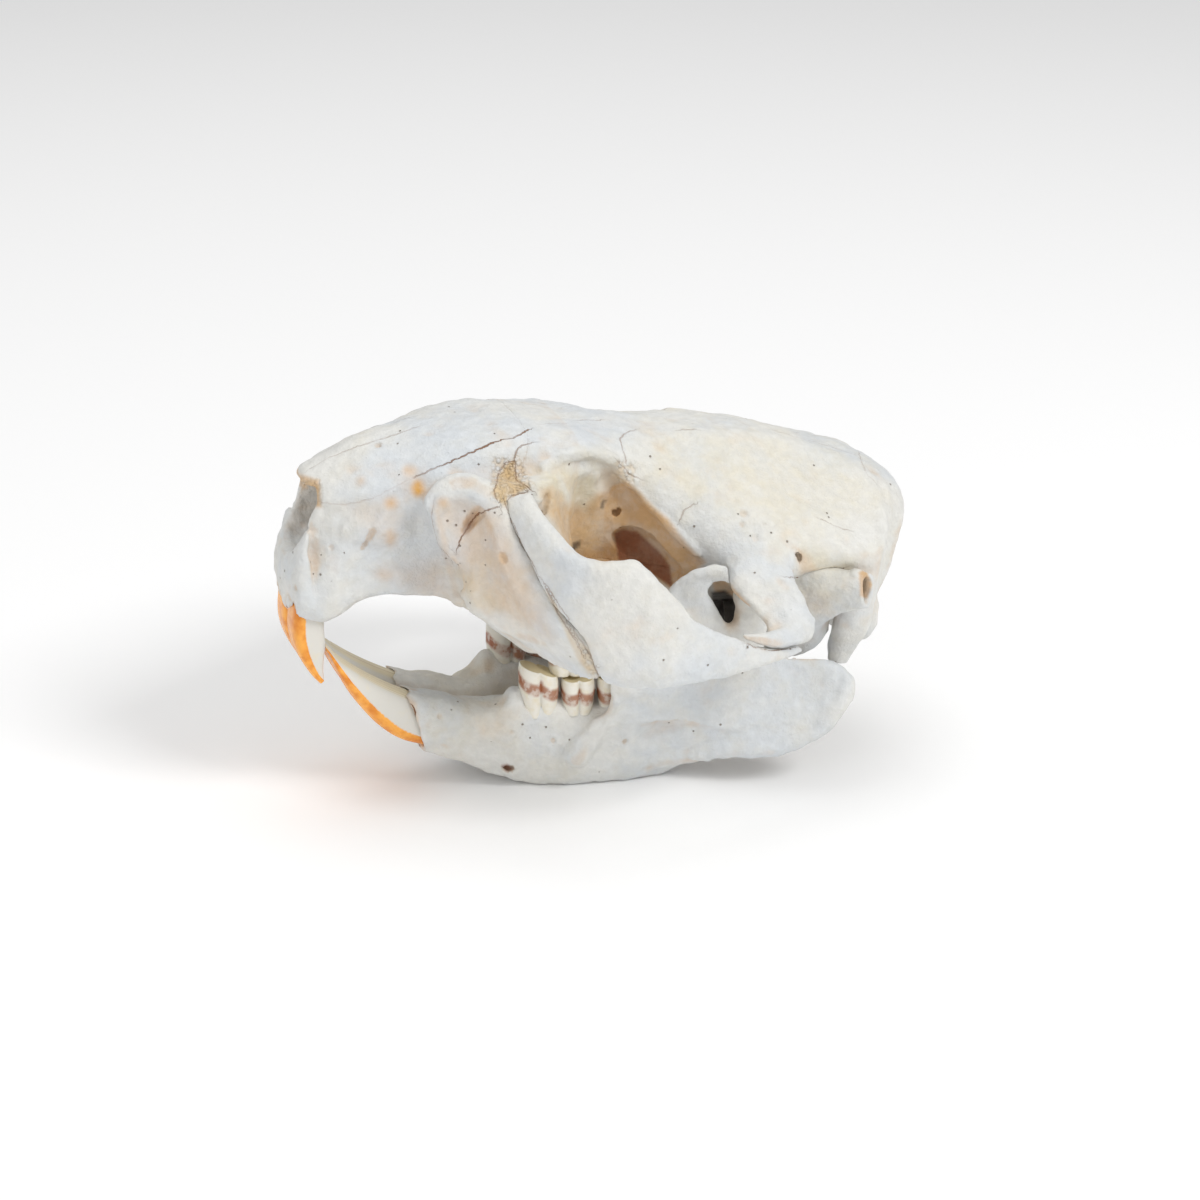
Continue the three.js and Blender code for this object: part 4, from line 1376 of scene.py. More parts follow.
EAR_STAINS_AND_SHADE = {
    "tan": (
        Stain(((859, 572), (866, 569), (872, 585), (867, 599), (860, 596)), 1.5, 0.8),
        Stain(((712, 577), (723, 577), (752, 606), (742, 613), (733, 597), (714, 592)), 2, 0.8),
        # Painted shade in the grooves of the ear bone below its tube.
        Stain(((790, 590), (830, 595), (830, 615), (800, 615)), 10, 0.2),
    ),
    "cream": (Stain(((790, 560), (860, 560), (860, 610), (790, 620)), 12, 0.3),),
    "shade": (Stain(((700, 585), (725, 585), (750, 600), (750, 630), (705, 630)), 3, 0.95),),
}
JAW_MARKS = (
    # Crest where the chewing muscle ends, and the hollows before and behind it
    Press(((578, 752), (590, 739), (602, 724), (613, 707), (621, 692)), 4.2, -2.1),
    Press(((545, 738), (565, 728), (583, 714), (597, 698)), 7.5, 1.8),
    Press(((606, 752), (620, 733), (634, 714)), 5.5, 1.4),
    Press(((650, 730), (690, 708), (730, 694), (780, 690)), 14.0, 1.8),
    Press(((650, 745), (695, 731), (740, 719), (790, 712)), 3.2, -0.6),
    Press(((660, 762), (720, 752), (780, 752), (820, 732), (845, 700), (848, 682)), 2.6, -0.6),
    Press(((450, 700), (490, 722), (530, 735)), 6.0, -0.5),
    Press(((440, 750), (490, 760), (530, 768)), 5.0, 0.5),
    # Rim of the blade and the furrow under it
    Press(((673, 591), (684, 582), (700, 574), (716, 569)), 1.8, -0.5),
    Press(((684, 596), (700, 588), (716, 584)), 3.0, 0.6),
    # Nerve hole and pinholes
    Hole(((503, 767), (510, 769)), (0.8, 1.0), 1.8, 0.3),
    Hole(((626, 741), (624, 743)), (0.45, 0.45), 0.7, 0.3),
    Hole(((440, 716), (440, 717)), (0.4, 0.4), 0.5, 0.3),
    Hole(((553, 741), (554, 742)), (0.4, 0.4), 0.5, 0.3),
    Hole(((511, 732), (512, 733)), (0.35, 0.35), 0.4, 0.3),
)
JAW_LINES = (
    SeamLine(((398, 690), (405, 700), (413, 705), (416, 712), (414, 728), (418, 740),
              (422, 750)), 1.0),
)
JAW_STAINS_AND_SHADE = {
    "tan": (
        Stain(((396, 684), (416, 703), (418, 730), (424, 752), (412, 745), (408, 710)), 4, 0.5),
        Stain(((480, 718), (510, 715), (510, 735), (480, 735)), 14, 0.2),
    ),
    "cream": (
        Stain(((530, 758), (580, 758), (580, 778), (530, 778)), 14, 0.2),
        Stain(((430, 700), (520, 700), (520, 740), (430, 740)), 20, 0.35),
    ),
    # Painted shade inside the nerve hole.
    "umber": (Stain(((501, 765), (508, 764), (513, 769), (507, 772)), 1.5, 0.8),),
    "pitted": (Stain(((430, 705), (560, 715), (570, 745), (440, 745)), 14, 0.5),),
}

ON_SKULL = Markings(SKULL_MARKS, SKULL_LINES, SKULL_STAINS_AND_SHADE)
ON_ARCH = Markings(ARCH_MARKS, ARCH_LINES, ARCH_STAINS)
ON_EAR = Markings(EAR_MARKS, (), EAR_STAINS_AND_SHADE)
ON_JAW = Markings(JAW_MARKS, JAW_LINES, JAW_STAINS_AND_SHADE)

# Wavelength and height of the bumps of real bone, in millimetres
BUMPS = ((11.0, 0.2), (4.5, 0.12), (2.2, 0.07))


# Sub-assemblies


@dataclass(frozen=True)
class UpperSkull:
    """Snout, cheek plates, roof, braincase and skull base, melted into one and parted behind
    the cheek plates at the suture between face and forehead.
    """

    voxel: float = 0.485
    seed: int = 11
    seam_lap: float = 0.2
    low: tuple = (-69, -45, 20)
    high: tuple = (67, 45, 81)
    snout: Core = Core(
        (
            (-65.8, 51.6, 2.6, 51.2, 5, 47.4, 4.2, 43.4, 43),
            (-64.8, 56, 5.6, 55.4, 8.6, 49, 8.2, 43, 41.4),
            (-62.8, 62, 6.8, 61.2, 9.2, 52, 9.1, 42.6, 40.8),
            (-61.4, 69.8, 3.4, 68.4, 6.6, 56.3, 9.9, 42.8, 40.4),
            (-59.4, 71.4, 6.2, 68.4, 8.6, 57, 10.2, 42.8, 40.6),
            (-57, 72.6, 8.8, 67.6, 10.4, 57, 10.2, 43.4, 41.8),
            (-50, 75.8, 12.6, 68.4, 13, 58.5, 9.4, 46.2, 44.8),
            (-42, 77, 13, 71.2, 14.2, 60, 9.8, 45.6, 44.2),
            (-34, 78.2, 13.4, 74.6, 15.4, 61, 11, 43.8, 42.2),
            (-26, 78.2, 14, 75.4, 15.4, 61, 13, 38, 37),
            (-18, 77.2, 13.8, 74.2, 13.6, 60, 15, 33, 33.6),
            (-12, 76, 12, 72.4, 12, 60, 14, 34, 34),
        )
    )
    braincase: Core = Core(
        (
            (-24, 77.8, 13, 75, 13, 64, 10, 50, 44),
            (-15, 76.8, 14.8, 73.4, 12.4, 64, 9.4, 50, 42),
            (-8, 76, 14.8, 73.6, 11.8, 64, 8.6, 50, 41),
            (0, 75, 13.2, 70.8, 12.6, 63, 8.6, 48, 40),
            (5, 74.2, 11.5, 70.6, 16.5, 60, 11, 45, 38),
            (11, 73.2, 9.5, 71, 20.6, 56.4, 13, 41, 36.5),
            (18, 72.4, 8.5, 70.9, 24.4, 53.6, 13.6, 38.5, 35.5),
            (27, 71, 8, 69, 26.2, 52, 14.5, 37, 34),
            (36, 68.4, 9, 65.6, 26, 51, 16, 35, 32),
            (45, 65.2, 11, 62.2, 26, 49.5, 19, 34, 29),
            (52, 62.9, 12.8, 60.2, 26.4, 47.5, 18, 32, 26.5),
            (54.8, 61.4, 12.6, 58.2, 24, 46.6, 13.6, 31, 25.8),
            (58.6, 59.4, 12.8, 56.6, 17.4, 47.6, 11.4, 39.4, 36),
            (61.8, 56.8, 9.6, 54.6, 11.6, 50.6, 7, 46.2, 44.8),
            (63.9, 53.2, 3.4, 52.6, 4.4, 51.4, 2.8, 50, 49.6),
        )
    )
    cheek_plate: Shaft = Shaft(
        (
            ((-37.6, 13.5, 70.6), (-26.6, 21.5, 69.6), 1.6),
            ((-39.8, 17, 65.8), (-26.4, 26.2, 64.8), 2.2),
            ((-38.8, 18.6, 58.4), (-24.2, 30.8, 58.6), 2.2),
            ((-36.4, 19.6, 51), (-21.8, 36, 51.4), 2.2),
            ((-34, 20, 45.6), (-17.9, 40, 45.8), 2.3),
            ((-25, 21, 40.6), (-15.4, 41.4, 41.2), 2.4),
            ((-20.5, 18.5, 35.8), (-14.4, 42, 37), 2),
        )
    )
    cheek_backing: Shaft = Shaft(
        (
            ((-32, 14, 70), (-25, 20, 69.6), 2),
            ((-33.5, 16, 65.8), (-24, 24, 64.8), 3),
            ((-33, 18.2, 58.4), (-22, 28, 58.6), 3.2),
            ((-31, 20.6, 51), (-20, 33, 51.4), 2.8),
            ((-29, 21.6, 45.6), (-17, 37, 45.8), 2.2),
        )
    )
    cheek_hollow: Shaft = Shaft(
        (
            ((-37.8, 20.4, 68.4), (-32.8, 24, 68.4), 1.4),
            ((-39.5, 21.2, 65), (-32.1, 26.4, 65), 2.8),
            ((-38.7, 23.1, 58.4), (-31.2, 29.4, 58.4), 3.2),
            ((-36.5, 24.7, 51), (-29.2, 32.8, 51), 3.2),
            ((-33.2, 27, 46), (-27, 34.7, 46), 2.7),
            ((-27.4, 27.6, 41), (-23.2, 36.4, 41), 1.6),
        )
    )
    cheek_root: Shaft = Shaft(
        (
            ((-34, 12, 69.5), (-22, 20, 69.5), 2.4),
            ((-33, 12.6, 60), (-21, 25, 60), 3.4),
            ((-31, 13, 50), (-19.5, 30, 50), 3.4),
            ((-26, 12, 41), (-16.5, 33, 42.5), 3.4),
            ((-20, 11, 33.5), (-13, 24, 37), 2.6),
        )
    )
    tooth_bed: Shaft = Shaft(
        (
            ((-19.5, 11, 45), (-18, 10.6, 31.6), 5),
            ((-10, 10.6, 47), (-10, 11, 31), 5.2),
            ((0, 11, 47), (0, 12.6, 31), 5.2),
            ((9, 11.6, 46), (9, 14, 31.2), 5),
            ((14.5, 11, 42), (14.5, 14, 34.6), 3),
        )
    )
    squamosal_root: Shaft = Shaft(
        (
            ((17, 20, 52), (34, 20, 52), 4.4),
            ((17.2, 26, 49), (30.5, 27, 50.6), 3.2),
            ((17.2, 31, 46.8), (28.8, 31, 48.8), 2.4),
            ((18.8, 35, 44.6), (29, 35.2, 46), 2.1),
            ((20.2, 38.4, 42.4), (30, 38.2, 42.6), 2),
            ((20.6, 40.6, 40.4), (29.4, 39.8, 39.6), 1.6),
        )
    )
    squamosal_tongue: Shaft = Shaft(
        (
            ((30.2, 38.6, 42.4), (28.6, 39.2, 37.6), 1.6),
            ((25, 41, 42.6), (24.8, 41.4, 38.2), 1.9),
            ((19, 43.2, 42.4), (19.4, 43.6, 39.2), 1.7),
            ((12.4, 44.9, 43.4), (13.2, 45, 42.4), 1),
        )
    )
    ear_shelf: Shaft = Shaft(
        (
            ((31, 16, 50), (31, 27, 47.6), 2.4),
            ((36, 16, 50.6), (36, 28, 48.6), 2.4),
            ((42, 16, 50.6), (42, 28, 49), 2.4),
            ((48, 16, 50), (48, 26, 48.4), 2.6),
        )
    )
    mastoid: Shaft = Shaft(
        (
            ((41.5, 21, 46), (51.8, 21, 46), 5),
            ((42.6, 23.4, 40), (51, 23.4, 40), 3.6),
            ((42.4, 22.8, 34), (51, 22.6, 34), 3),
            ((42.2, 20.4, 28), (49, 20, 28), 2.2),
            ((42.6, 19.2, 23.4), (46.8, 19, 22.4), 1.2),
        )
    )
    condyle: Shaft = Shaft(
        (
            ((51.5, 6, 36), (46.5, 6, 28), 3),
            ((56, 8.2, 34.5), (50, 8, 24.5), 3.6),
            ((58.2, 9, 30.5), (53.4, 9, 22.6), 3),
            ((58, 9.4, 26.6), (55.4, 9.4, 23), 1.6),
        )
    )
    pterygoid: Shaft = Shaft(
        (
            ((11, 8, 42), (11, 7.4, 32.6), 1.8),
            ((17, 7.4, 40), (17, 7.6, 29.4), 1.4),
            ((22.5, 7.4, 38.6), (23, 8.2, 30.2), 1.2),
            ((28.6, 8, 38), (29.4, 8.4, 33.4), 1),
        )
    )
    skull_base: Shaft = Shaft(
        (
            ((8, 0, 42), (8, 0, 36.4), 7),
            ((20, 0, 41), (20, 0, 34.4), 6),
            ((36, 0, 38), (36, 0, 29.6), 7.4),
            ((50, 0, 34), (50, 0, 25.6), 8.6),
            ((57, 0, 30.5), (57, 0, 26), 8),
        ),
        power=2.6,
    )
    nerve_hole: Shaft = Shaft(
        (
            ((44, 0, 37), (44, 0, 31), 4),
            ((54, 0, 37.6), (54, 0, 29.6), 6),
            ((66, 0, 41), (66, 0, 28), 7.4),
        )
    )
    nostril: Shaft = Shaft(
        (
            ((-70, 0, 68), (-70, 0, 53.4), 6),
            ((-62, 0, 68), (-63, 0, 54), 5.8),
            ((-56, 0, 67.8), (-57, 0, 55), 5.4),
            ((-48, 0, 65.6), (-49, 0, 58), 4.2),
        ),
        power=3.0,
    )
    cheek_canal: Shaft = Shaft(
        (
            ((-44, 17.4, 56), (-43, 17.4, 49), 1.3),
            ((-37, 17.6, 56), (-36, 17.6, 49), 1.4),
            ((-31, 17.2, 55), (-30, 17.2, 50), 1.2),
        )
    )
    nose_rim: Shaft = Shaft(
        (
            ((-72, 0, 68.2), (-59.3, 0, 68.2), 12),
            ((-72, 0, 64.8), (-59.5, 0, 64.8), 12),
            ((-72, 0, 61), (-61.2, 0, 61), 12),
            ((-72, 0, 57.2), (-63, 0, 57.2), 12),
            ((-72, 0, 53.8), (-65.4, 0, 53.8), 12),
        ),
        power=5.0,
    )
    orbit_front: Shaft = Shaft(
        (
            ((-13.4, 11, 70), (-21, 22, 70), 3),
            ((-13.6, 11, 62), (-21.5, 26, 62), 3.6),
            ((-13.2, 11, 54), (-20.5, 29, 54), 3.8),
            ((-12, 10, 46), (-18.5, 31, 47), 3.6),
        )
    )
    back_corner: Shaft = Shaft(
        (
            ((66.5, 16.3, 58), (58.9, 32.7, 58), 6),
            ((63.6, 16.3, 52), (56, 32.7, 52), 6),
            ((62.1, 16.3, 47), (54.5, 32.7, 47), 6),
            ((61.3, 16.3, 42.5), (53.7, 32.7, 42.5), 6),
            ((60.8, 16.3, 37), (53.2, 32.7, 37), 6),
            ((60, 16.3, 28), (52.4, 32.7, 28), 6),
        ),
        power=4.0,
    )
    temple_scoop: Shaft = Shaft(
        (
            ((-1, 13.4, 68), (-5, 13.4, 68), 2.2),
            ((2, 14.6, 65.6), (-6, 14.6, 65.6), 4.6),
            ((6.5, 18.6, 59.7), (-7, 18.6, 59.7), 8.4),
            ((9.8, 22.8, 54.6), (-7.6, 22.6, 54.6), 11.6),
            ((12.8, 26.6, 51.5), (-8, 26.6, 51.5), 14.6),
            ((15, 31, 47), (-7, 31, 47), 16),
            ((15, 34, 43), (-6, 34, 43), 16),
        ),
        power=2.6,
    )
    face_suture: tuple = ((-19, 100), (-19, 76), (-22.5, 69), (-20.5, 60), (-13, 48.4), (12, 45),
                          (18.4, 37), (18.4, 10))

    def clay(self, ear: "EarBulla", jaw: "LowerJaw", teeth: "GnawingTeeth") -> Clay:
        """Melt the bones together and sink the openings and sockets.

        Args:
            ear: the ear bones that sit in the base.
            jaw: the jaw whose joint knob runs in a hollow.
            teeth: the front teeth whose roots need sockets.

        Returns:
            The whole upper skull.
        """
        clay = Clay(self.low, self.high, self.voxel)
        clay.add(self.snout.skin(), 1.0)
        clay.add(self.braincase.skin(), 3.0)
        clay.add(self.skull_base.skin(), 3.0)
        for side in Side:
            for shaft, reach in (
                (self.cheek_root, 4.0),
                (self.orbit_front, 4.0),
                (self.cheek_backing, 1.5),
                (self.cheek_plate, 2.5),
                (self.tooth_bed, 3.0),
                (self.squamosal_root, 4.0),
                (self.squamosal_tongue, 1.5),
                (self.ear_shelf, 3.0),
                (self.mastoid, 3.0),
                (self.condyle, 2.0),
                (self.pterygoid, 2.0),
            ):
                clay.add(shaft.skin(side), reach)
        clay.cut(self.nose_rim.skin(), 0.7)
        clay.cut(self.nostril.skin(), 0.8)
        clay.cut(self.nerve_hole.skin(), 1.2)
        for side in Side:
            for shaft, grow, rim in (
                (self.cheek_canal, 0.0, 1.0),
                (self.cheek_hollow, 0.0, 1.6),
                (self.back_corner, 0.0, 2.0),
                (teeth.upper, JOIN_GAP, JOIN_RIM),
                (ear.bulb, 0.2, 0.5),
                (ear.tube, -0.15, 0.3),
                (ear.hole, 0.3, 0.6),
                (jaw.joint_knob, 0.4, 0.8),
                (self.temple_scoop, 0.0, 0.7),
            ):
                clay.cut(shaft.skin(side, grow), rim)
            ON_SKULL.work(clay, side)
        return clay

    def behind_face(self, clay: Clay) -> np.ndarray:
        """Distance behind the suture between face and forehead, in side view.

        Args:
            clay: the whole upper skull.

        Returns:
            Distances at its cells, the same all across, positive behind the suture.
        """
        line = np.array(self.face_suture, float)
        x = (np.arange(clay.values.shape[0]) + clay.start[0]) * clay.voxel
        z = (np.arange(clay.values.shape[2]) + clay.start[2]) * clay.voxel
        at = np.stack(np.meshgrid(x, z, indexing="ij"), -1)
        gone = np.full(at.shape[:2], FAR_MM)
        for a, b in zip(line[:-1], line[1:]):
            gone = np.minimum(gone, np.linalg.norm(from_line(at, a, b)[1], axis=-1))
        edge = np.interp(at[..., 1], line[::-1, 1], line[::-1, 0])
        return np.where(at[..., 0] > edge, gone, -gone)[:, None, :].astype(np.float32)

    def build(self, ear: "EarBulla", jaw: "LowerJaw", teeth: "GnawingTeeth") -> list:
        """The face and the cranium as pieces, with their layers painted.

        Args:
            ear: the ear bones that sit in the base.
            jaw: the jaw whose joint knob runs in a hollow.
            teeth: the front teeth whose roots need sockets.

        Returns:
            The two pieces.
        """
        clay = self.clay(ear, jaw, teeth)
        behind = self.behind_face(clay)
        face_nodes = [f"{n}_{s.word}" for n in ("nasal", "premaxilla", "maxilla") for s in Side]
        cranium_nodes = ["frontal", "braincase", "occipital"]
        return [
            bone_piece(name, clay, Side.LEFT, Slot.BONE, nodes, ON_SKULL, self.seed, keep)
            for name, nodes, keep in (
                ("face_bones", face_nodes, behind - self.seam_lap),
                ("cranium_bones", cranium_nodes, -behind - self.seam_lap),
            )
        ]


def weathered(skin: Skin, clay: Clay, seed: int) -> Skin:
    """The skin with the gentle bumps of real bone: rolling fields of a few sizes, added along
    the outward line.

    Args:
        skin: the smooth skin.
        clay: the field it was meshed from.
        seed: picks the bumps.

    Returns:
        The uneven skin.
    """
    lift = np.zeros(len(skin.points))
    for k, (size, height) in enumerate(BUMPS):
        lift += height * rolling(skin.points, size, seed + k)
    points = skin.points + clay.outward(skin.points) * lift[:, None]
    points[:, 2] = np.maximum(points[:, 2], TABLE_Z)
    return Skin(points, skin.quads, skin.triangles)


def dress_bone(
    piece: bpy.types.Object, skin: Skin, clay: Clay, side: Side, seen: Markings
) -> None:
    """Paint a bone's layers: its seams, its hollows and its stains.

    Args:
        piece: the bone.
        skin: its surface in drawing millimetres.
        clay: the field it was meshed from.
        side: the side of the animal that the clay has.
        seen: its sutures, cracks and stains.
    """
    signed, dark = seam_sides(skin.points, seen.lines, clay, side)
    normals = clay.outward(skin.points)
    layers = {"seam_side": signed, "seam_dark": dark}
    for name in LAYERS:
        cover = np.zeros(len(skin.points))
        for stain in seen.stains.get(name, ()):
            cover = np.maximum(cover, stain.cover(skin.points, normals))
        layers[name] = cover
    # Painted shade: tan darkening where the bone is concave and on faces turned to the animal's
    # middle.
    inner_shade = ease(normals[:, 1] * -np.sign(skin.points[:, 1]), 0.3, 0.9)
    layers["hollow"] = 0.4 * ease(clay.hollows(skin), 0.04, 0.5) + 0.16 * inner_shade
    paint(piece, **layers)


def bone_piece(
    name: str,
    clay: Clay,
    side: Side,
    slot: Slot,
    nodes: list,
    seen: Markings,
    seed: int,
    keep: np.ndarray | None = None,
) -> bpy.types.Object:
    """A bone as a finished piece: meshed from its clay, made uneven and painted.

    Args:
        name: the piece's name.
        clay: the bone's field.
        side: the side of the animal that the clay has.
        slot: handed on to add_piece.
        nodes: CAD nodes that it stands for.
        seen: what the photograph shows on it.
        seed: picks its bumps.
        keep: distances that limit the clay, negative where it stays.

    Returns:
        The new object.
    """
    skin = weathered(clay.surface(keep), clay, seed)
    piece = add_piece(name, skin, slot, nodes, ready(BleachedBone()))
    dress_bone(piece, skin, clay, side, seen)
    return piece


@dataclass(frozen=True)
class CheekArch:
    """The jugal bone of one side."""

    voxel: float = 0.4
    seed: int = 21
    low: tuple = (-30, 20, 33)
    high: tuple = (30, 51, 72)
    jugal: Shaft = Shaft(
        (
            ((-22.6, 25, 69.4), (-27, 24, 67.8), 1.2),
            ((-22.4, 30, 67.6), (-26.6, 27, 64), 1.7),
            ((-20.5, 35.4, 64), (-24.2, 31, 58.4), 2.2),
            ((-17, 41, 61.4), (-21.8, 36.2, 51.4), 2.4),
            ((-12, 44.4, 61.4), (-17.3, 40.4, 45.2), 2.5),
            ((-8.2, 45.4, 61.1), (-13.6, 42.6, 36.4), 2.5),
            ((-4.8, 46, 57.4), (-6.8, 46.8, 35.8), 2.5),
            ((-0.3, 46.2, 52.6), (0.5, 47.4, 35.8), 2.4),
            ((2.8, 46.2, 48.4), (6.4, 46.8, 35.7), 2.3),
            ((6.8, 45.8, 45.4), (12.2, 46, 36), 2.1),
            ((13.6, 44.8, 41.8), (17.9, 44.8, 36.3), 1.9),
            ((20.7, 43.2, 38.6), (22.7, 43, 36.2), 1.5),
            ((26.4, 41.2, 37.6), (26.8, 41.2, 36.4), 1),
        ),
        power=2.6,
        around=56,
    )

    def build(self, side: Side, upper: UpperSkull) -> bpy.types.Object:
        """The arch of one side, let into the bones it meets.

        Args:
            side: the side of the animal.
            upper: the skull it is let into.

        Returns:
            The finished piece.
        """
        clay = Clay.on_side(side, self.low, self.high, self.voxel)
        clay.add(self.jugal.skin(side), 0.5)
        for shaft in (
            upper.cheek_plate,
            upper.squamosal_root,
            upper.squamosal_tongue,
            upper.cheek_root,
        ):
            clay.cut(shaft.skin(side, JOIN_GAP), JOIN_RIM)
        ON_ARCH.work(clay, side)
        name = "jugal_" + side.word
        return bone_piece(name + "_bone", clay, side, Slot.BONE, [name], ON_ARCH, self.seed)


@dataclass(frozen=True)
class EarBulla:
    """The ear bone of one side: a bulb below and a tube that opens at the side."""

    voxel: float = 0.4
    seed: int = 31
    low: tuple = (19, 6, 21)
    high: tuple = (51, 36, 52)
    bulb: Shaft = Shaft(
        (
            ((22.4, 12, 36.4), (22.4, 12, 31), 2.4),
            ((29.5, 14, 38), (29.5, 14, 27), 5.4),
            ((34.5, 15.5, 39), (34.5, 15.5, 24.8), 7),
            ((39.5, 17, 38.5), (39.5, 17, 26.2), 6.4),
            ((43, 18, 36.5), (43, 18, 30), 3.4),
        )
    )
    tube: Shaft = Shaft(
        (
            ((31.6, 17.6, 47.4), (34.6, 16.6, 29.6), 5),
            ((36.2, 22.6, 48.2), (38.4, 22, 32.4), 4.4),
            ((41, 27.4, 46.4), (42, 27, 37.2), 3.3),
            ((45.2, 31, 46.6), (45.8, 31.2, 39.4), 2.9),
        )
    )
    hole: Shaft = Shaft(
        (
            ((39.4, 25.4, 42.8), (40.2, 25.6, 40), 1),
            ((43.2, 29, 45), (43.9, 29.2, 40.6), 1.9),
            ((47.8, 33.4, 46.2), (48.3, 33.6, 40.2), 2.4),
        )
    )

    def build(self, side: Side) -> bpy.types.Object:
        """The ear bone of one side, bored where the tube opens.

        Args:
            side: the side of the animal.

        Returns:
            The finished piece.
        """
        clay = Clay.on_side(side, self.low, self.high, self.voxel)
        clay.add(self.bulb.skin(side), 1.0)
        clay.add(self.tube.skin(side), 2.5)
        clay.cut(self.hole.skin(side), 0.8)
        ON_EAR.work(clay, side)
        name = "ear_bulla_" + side.word
        return bone_piece(name + "_bone", clay, side, Slot.WARM_BONE, [name], ON_EAR, self.seed)


@dataclass(frozen=True)
class LowerJaw:
    """One half of the lower jaw: body, angle plate, coronoid blade, joint knob and ridge."""

    voxel: float = 0.42
    seed: int = 41
    low: tuple = (-48, -0.9, 0)
    high: tuple = (47, 36, 54)
    middle_gap: float = 0.15
    body: Shaft = Shaft(
        (
            ((-43.6, 4.9, 23.8), (-39.9, 5.1, 9.9), 5),
            ((-36.6, 4.9, 21.4), (-34.6, 5.1, 7.6), 5.2),
            ((-30, 5.2, 19.2), (-28, 5.2, 4.6), 5.3),
            ((-24.6, 7.4, 19.2), (-22, 6, 2.4), 5.6),
            ((-18.6, 10.2, 20.2), (-16, 7.8, 0.9), 5.7),
            ((-10, 11.8, 20), (-8.6, 9.8, 0.6), 5.9),
            ((-2, 13.2, 20), (-0.2, 11, 0.7), 6),
            ((6, 14.8, 20.6), (8.4, 11.2, 1), 5.2),
            ((13, 17.4, 21), (14.4, 14.6, 5.4), 3.6),
        ),
        power=3.0,
        around=56,
    )
    angle: Shaft = Shaft(
        (
            ((-2, 18.6, 22), (1.4, 12, 2), 3.2),
            ((6, 20.6, 26), (9, 13.6, 3), 3.2),
            ((14, 23, 29), (14.8, 19.4, 6.4), 2.9),
            ((24, 25.4, 30.4), (23.8, 25.4, 7), 2.6),
            ((33, 27.6, 29.8), (33, 28.6, 10), 2.3),
            ((39.8, 29.6, 27.6), (39.4, 30.8, 15), 2),
            ((43.2, 30.8, 24.4), (42.8, 31, 19.4), 1.2),
        )
    )
    coronoid: Shaft = Shaft(
        (
            ((-4.5, 19.4, 15), (24, 24.4, 15), 3),
            ((-1.6, 21, 26), (25.4, 24.8, 27), 2.6),
            ((2.4, 22.6, 36.5), (19, 25.4, 36), 2),
            ((5.8, 24, 45), (14, 26.2, 43.6), 1.6),
            ((9.4, 25.4, 49.2), (14.4, 26.6, 46.4), 1.1),
            ((13.4, 26.6, 50.4), (16.2, 27.2, 46.8), 0.9),
            ((16.6, 27.4, 50.4), (17.6, 27.6, 46.6), 0.7),
        )
    )
    joint_knob: Shaft = Shaft(
        (
            ((15.6, 24.6, 28), (26.4, 25, 27), 2.6),
            ((18.2, 25, 35), (26.2, 25, 34), 2.4),
            ((19.8, 24.8, 39.4), (27.4, 24.6, 38.8), 2.8),
            ((19.6, 24.2, 42.4), (28, 24, 41.8), 3.4),
            ((21.2, 24, 44.4), (26.6, 24, 44), 2.2),
        )
    )
    tooth_wall: Shaft = Shaft(
        (
            ((-27.6, 8.6, 18), (-27.6, 8.6, 12), 2.6),
            ((-24.8, 9.4, 19.6), (-24.8, 9.4, 12), 3.2),
            ((-22.4, 9.8, 22.6), (-22.4, 9.8, 12), 3.4),
            ((-20, 10.2, 22.6), (-20, 10.2, 12), 3),
        )
    )
    ridge: Shaft = Shaft(
        (
            ((-15, 9.4, 8), (-11, 10, 3.4), 3.2),
            ((-11, 12.2, 12), (-6.5, 12.5, 5.4), 3.4),
            ((-7, 15.4, 16.4), (-1, 15.4, 8.4), 3.4),
            ((-4.8, 18, 21), (3, 18.4, 14), 3),
            ((-3, 19.8, 26), (6, 20.6, 20), 2.3),
            ((0, 21.4, 32), (8, 22.6, 27), 1.6),
        )
    )

    def build(self, side: Side, teeth: "GnawingTeeth") -> bpy.types.Object:
        """One jaw half, flat where it stands on the table and where it meets the other half.

        Args:
            side: the side of the animal.
            teeth: the front teeth whose roots need sockets.

        Returns:
            The finished piece.
        """
        clay = Clay.on_side(side, self.low, self.high, self.voxel)
        for shaft, reach in (
            (self.body, 1.0),
            (self.angle, 4.0),
            (self.coronoid, 3.0),
            (self.joint_knob, 2.5),
            (self.ridge, 3.5),
            (self.tooth_wall, 1.5),
        ):
            clay.add(shaft.skin(side), reach)
        clay.cut(teeth.lower.skin(side, JOIN_GAP), JOIN_RIM)
        ON_JAW.work(clay, side)
        place, at = clay.cells(np.array(clay.low), np.array(clay.high))
        clay.sink(place, at[..., 1] * side.value - self.middle_gap, 1.0)
        clay.sink(place, at[..., 2] - TABLE_Z, 0.4)
        name = "dentary_" + side.word
        return bone_piece(name + "_bone", clay, side, Slot.BONE, [name], ON_JAW, self.seed)


